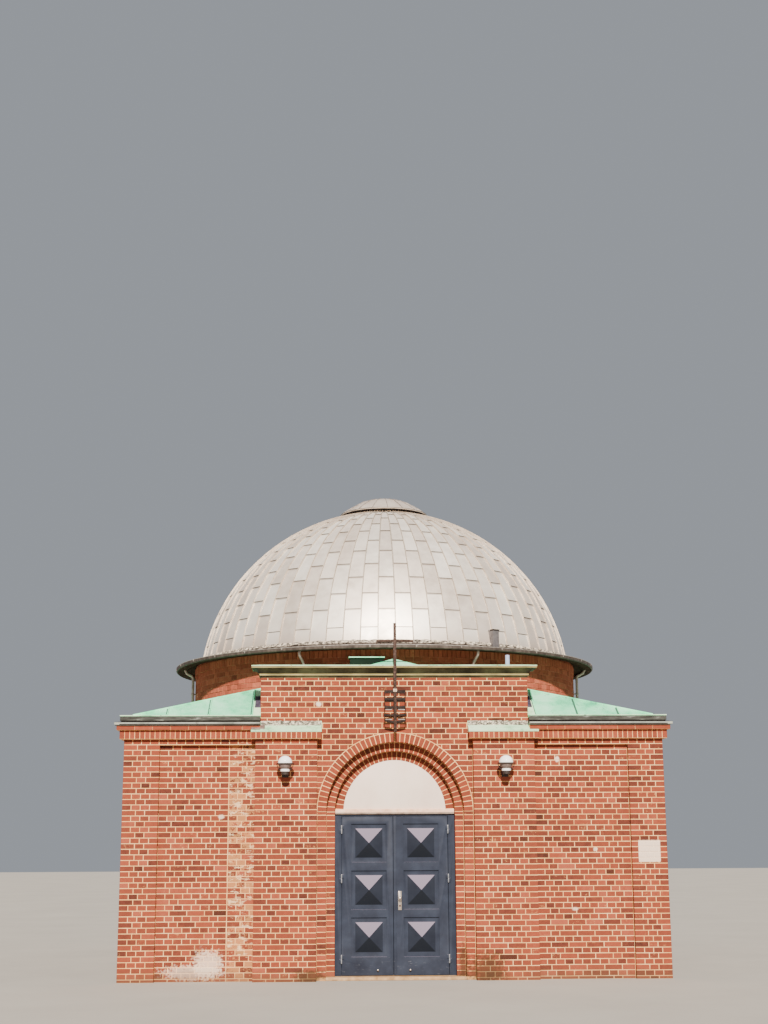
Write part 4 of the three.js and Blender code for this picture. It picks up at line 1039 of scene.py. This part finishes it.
def model_lantern():
    """Low hood with seams, a rolled rim and a pierced collar under it."""
    finished(softened("lantern", "lantern hood", 0.004, 2, 40), zinc_sheet)
    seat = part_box("lantern")[0][2]
    rim = spun("lantern rim", [(0.70, seat + 0.052), (0.774, seat + 0.050), (0.783, seat + 0.056),
                               (0.784, seat + 0.070), (0.776, seat + 0.079), (0.70, seat + 0.10),
                               (0.70, seat + 0.052)], 96)
    finished(smoothed(rim, 40), zinc_seam)
    lines = []
    for radius, low, high in ((0.785, 0.0695, 0.0765), (0.781, 0.0445, 0.0525)):
        lines.append(spun("rim line", [(0.70, seat + low), (radius, seat + low), (radius, seat + high),
                                       (0.70, seat + high), (0.70, seat + low)], 96))
    lines.append(spun("collar shade", [(0.68, seat + 0.001), (0.7015, seat + 0.001), (0.7015, seat + 0.045),
                                       (0.68, seat + 0.045), (0.68, seat + 0.001)], 96))
    finished(joined(lines, "lantern shade lines"), dark_zinc)
    ribs = []
    outline = [(0.765, seat + 0.083), (0.655, 7.790), (0.436, 7.918), (0.23, 7.984)]
    for i in range(18):
        turn = Matrix.Rotation(math.radians(3.1 + 20 * i), 4, "Z")
        for (r0, z0), (r1, z1) in zip(outline, outline[1:]):
            run = Vector((0, r1 - r0, z1 - z0))
            slope = math.atan2(z1 - z0, r0 - r1)
            piece = block("lantern seam", (-0.005, 0.005), (-run.length / 2, run.length / 2),
                          (-0.006, 0.010), 0.002, 1)
            place = Matrix.Translation((0, -(r0 + r1) / 2, (z0 + z1) / 2)) @ Matrix.Rotation(slope, 4, "X")
            ribs.append(moved(piece, turn @ place))
    finished(joined(ribs, "lantern seams"), worn_zinc)
    slat = block("collar slat", (-0.012, 0.012), (-0.712, -0.695), (seat + 0.004, seat + 0.036), 0.003, 1)
    slats = [copied(slat, "slat", Matrix.Rotation(math.tau * i / 96, 4, "Z")) for i in range(96)]
    removed(slat)
    finished(joined(slats, "lantern collar"), pale_iron)


# roofs, gutters and copper work

def seam_end(side, x):
    """How far in a seam runs, to a hip, the entrance block or the drum."""
    at_drum = math.sqrt(max(0.0, 3.318 ** 2 - x * x))
    if side == "front":
        return ROOF_FOOT - (ROOF_FOOT - abs(x)) * HIP_TURN
    if side == "back":
        return max(abs(x), at_drum)
    along = x if side == "right" else -x
    if along > 0:
        return max(along, at_drum)
    if along < -HIP_END:
        return ROOF_FOOT - (ROOF_FOOT + along) / HIP_TURN
    return max(BLOCK_HALF + 0.012, at_drum)


def roll(start, end, radius):
    """A rounded roll of sheet along a hip."""
    run = end - start
    bpy.ops.object.select_all(action="DESELECT")
    bpy.ops.mesh.primitive_cylinder_add(radius=radius, depth=run.length, vertices=14)
    obj = bpy.context.object
    pick(obj, "EDGE", lambda edge: abs(edge.verts[0].co.z - edge.verts[1].co.z) < 0.01)
    bpy.ops.mesh.bevel(offset=radius * 0.3, segments=2, affect="EDGES")
    leave_edit()
    turn = run.to_track_quat("Z", "Y").to_matrix().to_4x4()
    return smoothed(moved(obj, Matrix.Translation((start + end) / 2) @ turn), 40)


def roof_seams():
    """Standing seams up each slope, ending at the drum or at a hip, each with a dark strip of painted shadow
    beside it, and rolls along the hips.
    """
    pile, seam_shadow_strips = [], []
    for side, degrees in FACADE_TURN.items():
        turn = Matrix.Rotation(math.radians(degrees), 4, "Z")
        rise = WING_RISE if side == "front" else ROOF_RISE
        slope = math.atan(rise)
        places = [2.13, 2.77, 3.39] if side == "front" else [0.3125, 0.9195, 1.5265, 2.135, 2.76, 3.385]
        for x in [p * s for p in places for s in (-1, 1)]:
            inner, outer = seam_end(side, x), ROOF_FOOT
            mid = (outer + inner) / 2
            long = (outer - inner) / math.cos(slope)
            piece = block("seam", (-0.006, 0.008), (-long / 2, long / 2), (-0.006, 0.024), 0.003, 1)
            # A dark strip beside each seam: painted shadow of the standing seam
            dark_mark = block("dark_mark", (-0.026, -0.004), (-long / 2, long / 2 - 0.01), (-0.006, 0.0025), 0.001, 1)
            place = (Matrix.Translation((x, -mid, EAVE_TOP + (ROOF_FOOT - mid) * rise))
                     @ Matrix.Rotation(slope, 4, "X"))
            pile.append(moved(piece, turn @ place))
            flat = block("seam", (x - 0.006, x + 0.008), (-EAVE + 0.012, -ROOF_FOOT + 0.004),
                         (EAVE_TOP - 0.006, EAVE_TOP + 0.012), 0.003, 1)
            pile.append(moved(flat, turn))
            seam_shadow_strips.append(moved(dark_mark, turn @ place))
    corner = ROOF_FOOT - 0.015
    for s in (-1, 1):
        inner = BLOCK_HALF + 0.01
        low = EAVE_TOP + 0.006
        pile.append(roll(Vector((s * corner, -corner, low)),
                         Vector((s * inner, -HIP_END, low + (corner - inner) * ROOF_RISE)), 0.02))
        inner = 3.322 / math.sqrt(2)
        pile.append(roll(Vector((s * corner, corner, low)),
                         Vector((s * inner, inner, low + (corner - inner) * ROOF_RISE)), 0.02))
    finished(joined(pile, "roof seams and hips"), green_copper)
    finished(joined(seam_shadow_strips, "seam shadows"), seam_shadow_paint)
    slope = math.atan(WING_RISE)
    inner, outer = seam_end("front", 2.06) + 0.03, ROOF_FOOT - 0.01
    mid, long = (outer + inner) / 2, (outer - inner) / math.cos(slope)
    pile = []
    for s in (-1, 1):
        ends = sorted((s * 2.004, s * 2.118))
        panel = block("panel", ends, (-long / 2, long / 2), (-0.004, 0.003), 0.001, 1)
        pile.append(moved(panel, Matrix.Translation((0, -mid, EAVE_TOP + (ROOF_FOOT - mid) * WING_RISE))
                          @ Matrix.Rotation(slope, 4, "X")))
    finished(joined(pile, "pale roof strips"), drip_copper)


def shell_of(node, name, test, thick):
    """A thin closed sheet over the faces of a frame piece that pass the test."""
    obj = bpy.data.objects.new(name, nodes[node].data.copy())
    bpy.context.scene.collection.objects.link(obj)
    pick(obj, "VERT", everything)
    bpy.ops.mesh.remove_doubles(threshold=2e-5)
    bpy.ops.mesh.dissolve_limited(angle_limit=math.radians(0.5))
    leave_edit()
    pick(obj, "FACE", lambda face: not test(face))
    bpy.ops.mesh.delete(type="FACE")
    leave_edit()
    return modified(obj, "SOLIDIFY", thickness=thick, offset=1.0)


def copper_work():
    """Copper roofs and caps with their laps, drips and flashings."""
    for side in ("left", "right", "back", "front_left", "front_right"):
        finished(softened(f"roof_{side}", f"copper roof {side}", 0.004), green_copper)
    roof_seams()
    finished(softened("entrance_roof", "entrance block roof", 0.003), green_copper)
    finished(softened("entrance_cornice", "entrance cornice", 0.003), olive_copper)
    cover = softened("cornice_cover", "cornice cover", 0.004)
    for vertex in cover.data.vertices:
        vertex.co.x = max(-4.1385, min(4.1385, vertex.co.x))
        vertex.co.y = max(-4.1385, min(4.1385, vertex.co.y))
    finished(cover, cover_copper)
    # The fascia is dark: it shows only in the recessed gap over the cornice cover, as painted shade
    finished(softened("eaves_fascia", "eaves fascia", 0.003), dark_zinc)
    for side in ("left", "right"):
        finished(softened(f"pier_cap_{side}", f"pier cap {side}", 0.004), drip_copper)
        # The dark sheets beside the block stand in for the shadow of the cornice's ends: painted shadow
        finished(softened(f"side_sheet_{side}", f"dark side sheet {side}", 0.004), cornice_shadow_sheet)

    # Upper edge of the entrance cornice: a pale nosing over a dark line of painted shade, and a pale sheet on its
    # slope
    finished(shell_of("entrance_cornice", "cornice top sheet",
                      lambda face: face.normal.z > 0.3 and face.calc_center_median().z > 4.52, 0.002),
             drip_copper)
    out = BLOCK_HALF + 0.1405
    front = PANEL_FACE + 0.1405
    pile, shade = [], []
    olive = []
    for group, step, low, high in ((pile, 0.003, 4.5225, 4.5345), (shade, 0.0005, 4.514, 4.524),
                                   (olive, 0.0015, 4.4965, 4.5145), (olive, -0.1045, 4.391, 4.4165)):
        group.append(block("edge", (-out - step, out + step), (-front - step, -front - step + 0.012),
                           (low, high), 0.001))
        for s in (-1, 1):
            group.append(block("edge", (s * (out + step - 0.012), s * (out + step)), (-front - step, -3.557),
                               (low, high), 0.001))
    for x in (-1.55, -0.52, 0.51, 1.54):
        olive.append(block("lap", (x - 0.008, x + 0.008), (-front - 0.004, -front + 0.01), (4.4965, 4.535), 0.002))
    finished(joined(pile, "cornice nosing"), drip_copper)
    finished(joined(shade, "cornice shade line"), dark_zinc)
    finished(joined(olive, "cornice fillets"), pale_olive)

    # Edge of the wing roofs: a pale nosing over a strip of weathered grey sheet, a dark line of painted shadow
    # along the foot of the cover's face, and a dark sheet over the cover's top slope
    pile, strips, eaves_shadow_lines = [], [], []
    for side, degrees in FACADE_TURN.items():
        turn = Matrix.Rotation(math.radians(degrees), 4, "Z")
        spans = [(-EAVE, -2.002), (2.002, EAVE)] if side == "front" else [(-EAVE, EAVE)]
        for a, b in spans:
            pile.append(moved(block("drip", (a - 0.006 * (a == -EAVE), b + 0.006 * (b == EAVE)),
                                    (-EAVE - 0.007, -EAVE + 0.006), (3.781, 3.7945), 0.003), turn))
            strips.append(moved(block("strip", (a, b), (-EAVE - 0.001, -EAVE + 0.017), (3.714, 3.777), 0.002),
                                turn))
            # Painted shadow: a dark line along the lower edge of the cover's face
            eaves_shadow_lines.append(moved(block("lip", (a, b), (-4.1398, -4.1335), (3.6485, 3.663), 0.001), turn))
    finished(joined(pile, "eaves nosing"), drip_copper)
    finished(joined(strips, "eaves strip"), fascia_zinc)
    finished(joined(eaves_shadow_lines, "eaves shadow line"), dark_zinc)
    finished(shell_of("cornice_cover", "dark cover top", lambda face: face.normal.z > 0.3, 0.0015), dark_zinc)

    # Mottled flashing over each pier cap, and the lead piece at the outer end of the left one
    for s, side in ((-1, "left"), (1, "right")):
        ends = sorted((s * (PIER_NEAR - 0.062), s * (BLOCK_HALF - 0.005)))
        strip = block("strip", ends, (-PANEL_FACE - 0.018, -PANEL_FACE - 0.006), (3.628, 3.716), 0.003)
        pick(strip, "FACE", everything)
        bpy.ops.mesh.subdivide(number_cuts=6)
        bpy.ops.mesh.select_all(action="DESELECT")
        leave_edit()
        modified(strip, "REMESH", mode="VOXEL", voxel_size=0.008)
        roughened(strip, 0.008, 0.03, s)
        strip.name = f"pier cap flashing {side}"
        finished(smoothed(strip, 60), flashing)
    lead = block("lead", (-2.13, -1.93), (-PIER_FACE - 0.07, -PANEL_FACE - 0.02), (3.578, 3.60), 0.006)
    pick(lead, "FACE", everything)
    bpy.ops.mesh.subdivide(number_cuts=4)
    leave_edit()
    for vertex in lead.data.vertices:
        vertex.co.z += (vertex.co.y + PIER_FACE + 0.07) * 0.32
    roughened(lead, 0.004, 0.05)
    lead.name = "lead patch"
    finished(smoothed(lead), lead_sheet)

    finished(softened("roof_hatch", "roof hatch", 0.004), hatch_copper)
    lid = block("roof hatch lid", (-0.683, -0.132), (-3.6235, -3.412), (4.699, 4.7165), 0.004)
    finished(lid, green_copper)
    vent_pipe = softened("roof_pipe", "roof vent pipe", 0.003)
    finished(vent_pipe, white_pipe)


def ring_gutter_work():
    # The gutter itself is near black as painted shade on its underside; its top and front get lighter zinc
    gutter = softened("ring_gutter", "ring gutter", 0.003)
    finished(gutter, dark_zinc_gutter_shade)
    lining = shell_of("ring_gutter", "gutter lining", lambda face: face.normal.z > 0.3, 0.0015)
    finished(lining, gutter_zinc)
    front = spun("gutter front", [(3.630, 4.8435), (3.640, 4.8435), (3.6525, 4.857), (3.6525, 4.897),
                                  (3.646, 4.897), (3.646, 4.862), (3.630, 4.8435)], 144)
    finished(smoothed(front, 40), gutter_zinc)
    bead = spun("gutter bead", [(3.646 + 0.008 * math.cos(a), 4.900 + 0.008 * math.sin(a))
                                for a in [i * math.tau / 8 for i in range(8)] + [0.0]], 144)
    finished(smoothed(bead, 60), worn_zinc)
    straps = []
    strap = block("gutter strap", (-0.009, 0.009), (-3.656, -3.60), (4.866, 4.9075), 0.003)
    for i in range(32):
        straps.append(copied(strap, "strap", Matrix.Rotation(math.tau * (i + 0.5) / 32, 4, "Z")))
    removed(strap)
    finished(joined(straps, "gutter straps"), worn_zinc)
    finished(softened("dome_vent", "dome vent box", 0.004), vent_sheet)
    lid = block("dome vent lid", (-0.0655, 0.0655), (-3.2855, -3.20), (5.231, 5.2515), 0.003)
    finished(moved(lid, Matrix.Rotation(0.537, 4, "Z")), dark_zinc)


def pipes():
    for node, name in (("downpipe_left", "left downpipe"), ("downpipe_right", "right downpipe"),
                       ("front_elbow_left", "left front elbow"), ("front_elbow_right", "right front elbow")):
        finished(softened(node, name, 0.002, 2, 60), pipe_zinc)
    collars = []
    for angle, heights in ((math.degrees(-0.179) + 90, (4.10, 4.42)), (math.degrees(0.179) - 90, (4.10, 4.42))):
        for z in heights:
            ring = spun("collar", [(0.021, z), (0.028, z), (0.029, z + 0.004), (0.029, z + 0.026),
                                   (0.028, z + 0.03), (0.021, z + 0.03), (0.021, z)], 24)
            moved(ring, Matrix.Rotation(math.radians(angle), 4, "Z") @ Matrix.Translation((0, -3.372, 0)))
            collars.append(smoothed(ring))
            stay = block("stay", (-0.009, 0.009), (-3.35, -3.29), (z + 0.006, z + 0.024), 0.002)
            collars.append(moved(stay, Matrix.Rotation(math.radians(angle), 4, "Z")))
    finished(joined(collars, "pipe collars"), pipe_zinc)


# door, lamps and cross

def door_work():
    finished(softened("door_frame", "door frame", 0.0015), door_paint)
    for side in ("left", "right"):
        finished(softened(f"door_leaf_{side}", f"{side} door leaf", 0.0015), door_paint,
                 f"{side}_leaf")
    finished(softened("door_handle", "door plate and knob", 0.0025, 3), steel, "right_leaf")
    keyhole = spun("keyhole cover", [(0, 0.0), (0.013, 0.0), (0.013, 0.003), (0.010, 0.005), (0, 0.005),
                                     (0, 0.0)], 20)
    moved(keyhole, Matrix.Translation((0.069, -3.7075, 1.03)) @ Matrix.Rotation(math.pi / 2, 4, "X"))
    finished(smoothed(keyhole), dark_zinc_gutter_shade, "right_leaf")
    for side, s in (("left", -1), ("right", 1)):
        upper, lower = [], []
        for z in (0.280, 1.422, 2.130):
            for group, z0, z1 in ((upper, z + 0.0013, z + 0.062), (lower, z - 0.062, z - 0.0013)):
                sleeve = spun("sleeve", [(0, z0), (0.0088, z0), (0.0095, z0 + 0.002), (0.0095, z1 - 0.002),
                                         (0.0088, z1), (0, z1), (0, z0)], 20)
                moved(sleeve, Matrix.Translation((s * 0.79, -3.712, 0)))
                group.append(smoothed(sleeve))
        finished(joined(upper, f"{side} leaf hinges"), hinge_steel, f"{side}_leaf")
        finished(joined(lower, f"{side} frame hinges"), hinge_steel)
    for side, x in (("left", -0.259), ("right", 0.215)):
        knob = spun(f"{side} floor bolt knob", [(0, 0), (0.007, 0), (0.007, 0.010), (0.012, 0.014),
                                                (0.0145, 0.020), (0.012, 0.026), (0.007, 0.029), (0, 0.029),
                                                (0, 0)], 24)
        moved(knob, Matrix.Translation((x, -3.6995, 0.125)) @ Matrix.Rotation(math.pi / 2, 4, "X"))
        finished(smoothed(knob, 50), steel, f"{side}_leaf")


def half_globe(name, low, high):
    """Part of a globe between two angles over its middle, closed flat above and below."""
    radius, centre = 0.1045, 3.083
    angles = [math.radians(low + (high - low) * i / 9) for i in range(10)]
    ring = [(radius * math.cos(a), centre + radius * math.sin(a)) for a in angles]
    outline = [(0, ring[0][1])] + ring + ([(0, ring[-1][1])] if high < 90 else []) + [(0, ring[0][1])]
    return smoothed(spun(name, outline, 40), 60)


def lamp_work():
    """Opal upper half and greyer lower half of a globe, the lower one dust and painted shade, with a thin ring
    between them, on a white socket, a dark fitting and a short arm."""
    for side, s in (("left", -1), ("right", 1)):
        place = Matrix.Translation((s * 1.622, -4.235, 0))
        upper = moved(half_globe(f"{side} lamp globe", -2.5, 90), place)
        finished(upper, opal)
        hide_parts(f"lamp_{side}")
        # The lower half is greyer glass: dust, and painted shade on the underside of the globe
        lower = moved(half_globe(f"{side} lamp lower half", -72, -8), place)
        finished(lower, lamp_glass_dust_and_shade)
        socket = spun(f"{side} lamp socket", [(0, 2.958), (0.062, 2.958), (0.066, 2.962), (0.066, 2.988),
                                              (0.062, 2.992), (0, 2.992), (0, 2.958)], 32)
        finished(smoothed(moved(socket, place), 40), opal)
        ring = spun("ring", [(0.10, 3.0685), (0.1255, 3.0685), (0.1268, 3.070), (0.1268, 3.0765),
                             (0.1255, 3.078), (0.10, 3.078), (0.10, 3.0685)], 48)
        body = spun("body", [(0, 2.908), (0.050, 2.908), (0.056, 2.914), (0.056, 2.958), (0, 2.958),
                             (0, 2.908)], 32)
        bpy.ops.object.select_all(action="DESELECT")
        bpy.ops.mesh.primitive_torus_add(major_radius=0.1195, minor_radius=0.0055, major_segments=48,
                                         minor_segments=8, location=(0, 0, 3.0735), rotation=(math.pi / 2, 0, 0))
        bow = bpy.context.object
        bpy.ops.object.transform_apply(location=True, rotation=True, scale=True)
        pick(bow, "VERT", everything)
        bpy.ops.mesh.bisect(plane_co=(0, 0, 3.072), plane_no=(0, 0, 1), clear_outer=True, use_fill=True)
        leave_edit()
        arm = block("arm", (-0.014, 0.014), (0.0, 0.162), (2.922, 2.946), 0.004)
        plate = block("plate", (-0.05, 0.05), (0.159, 0.1695), (2.880, 2.990), 0.004)
        pieces = [smoothed(moved(piece, place), 40) for piece in (ring, bow, body, arm, plate)]
        finished(joined(pieces, f"{side} lamp holder"), lamp_dark)


def cross_work():
    finished(softened("cross", "iron cross", 0.003), iron)
    finished(softened("cross_bracket", "cross cage", 0.002), dark_iron)
    back = -PANEL_FACE - 0.155
    pile, pale = [], []
    for z in (4.108, 4.000):
        pile.append(block("rod", (-0.15, 0.15), (back + 0.01, back + 0.022), (z - 0.012, z), 0.003))
    for s in (-1, 1):
        for z in (3.79, 4.02):
            pile.append(block("stay", (s * 0.148, s * 0.158), (back + 0.004, -PANEL_FACE - PROUD),
                              (z, z + 0.012), 0.003))
    finished(joined(pile, "cage stays"), dark_iron)
    for z in (3.86, 3.715):
        for s in (-1, 1):
            pale.append(block("strip", (s * 0.045, s * 0.145), (back - 0.006, back + 0.002), (z, z + 0.015), 0.003))
    finished(joined(pale, "cage strips"), worn_zinc)
    collar = block("cross collar", (-0.028, 0.028), (back - 0.034, back + 0.004), (4.13, 4.175), 0.005)
    finished(collar, pale_iron)


door_work()
lamp_work()
cross_work()
pipes()
ring_gutter_work()
copper_work()
model_lantern()
clad_dome()
lay_all_bricks()


# camera, floor and light

camera_data = bpy.data.cameras.new("camera")
camera = bpy.data.objects.new("camera", camera_data)
bpy.context.scene.collection.objects.link(camera)
camera_data.sensor_width = 36
camera_data.lens = 1480 / 1024 * 36
turn = (Matrix.Rotation(math.radians(-2.2), 4, "Z") @ Matrix.Rotation(math.radians(90 + 12.55), 4, "X")
        @ Matrix.Rotation(math.radians(-0.29), 4, "Z"))
camera.matrix_world = Matrix.Translation((-1.0, -26.19, 1.955)) @ turn
bpy.context.scene.camera = camera

bpy.ops.object.select_all(action="DESELECT")
bpy.ops.mesh.primitive_plane_add(size=160)
floor = bpy.context.object
floor.name = "studio_floor"
floor.data.materials.append(plain_material("pale studio floor", [(0.3, "#9E9A93"), (0.7, "#A5A19A")],
                                           0.9, 2.0))

world = bpy.data.worlds.new("studio")
bpy.context.scene.world = world
world.use_nodes = True
surround = world.node_tree.nodes["Background"]
surround.inputs[0].default_value = linear("#DDE4EE")
surround.inputs[1].default_value = 0.44

key = bpy.data.lights.new("key", "SUN")
key.energy = 10.2
key.angle = math.radians(2)
key.color = linear("#FFF4E6")[:3]
key_object = bpy.data.objects.new("key", key)
bpy.context.scene.collection.objects.link(key_object)
height, side = math.radians(36.5), math.radians(-1)
toward = Vector((math.sin(side) * math.cos(height), -math.cos(side) * math.cos(height), math.sin(height)))
key_object.rotation_euler = toward.to_track_quat("Z", "Y").to_euler()
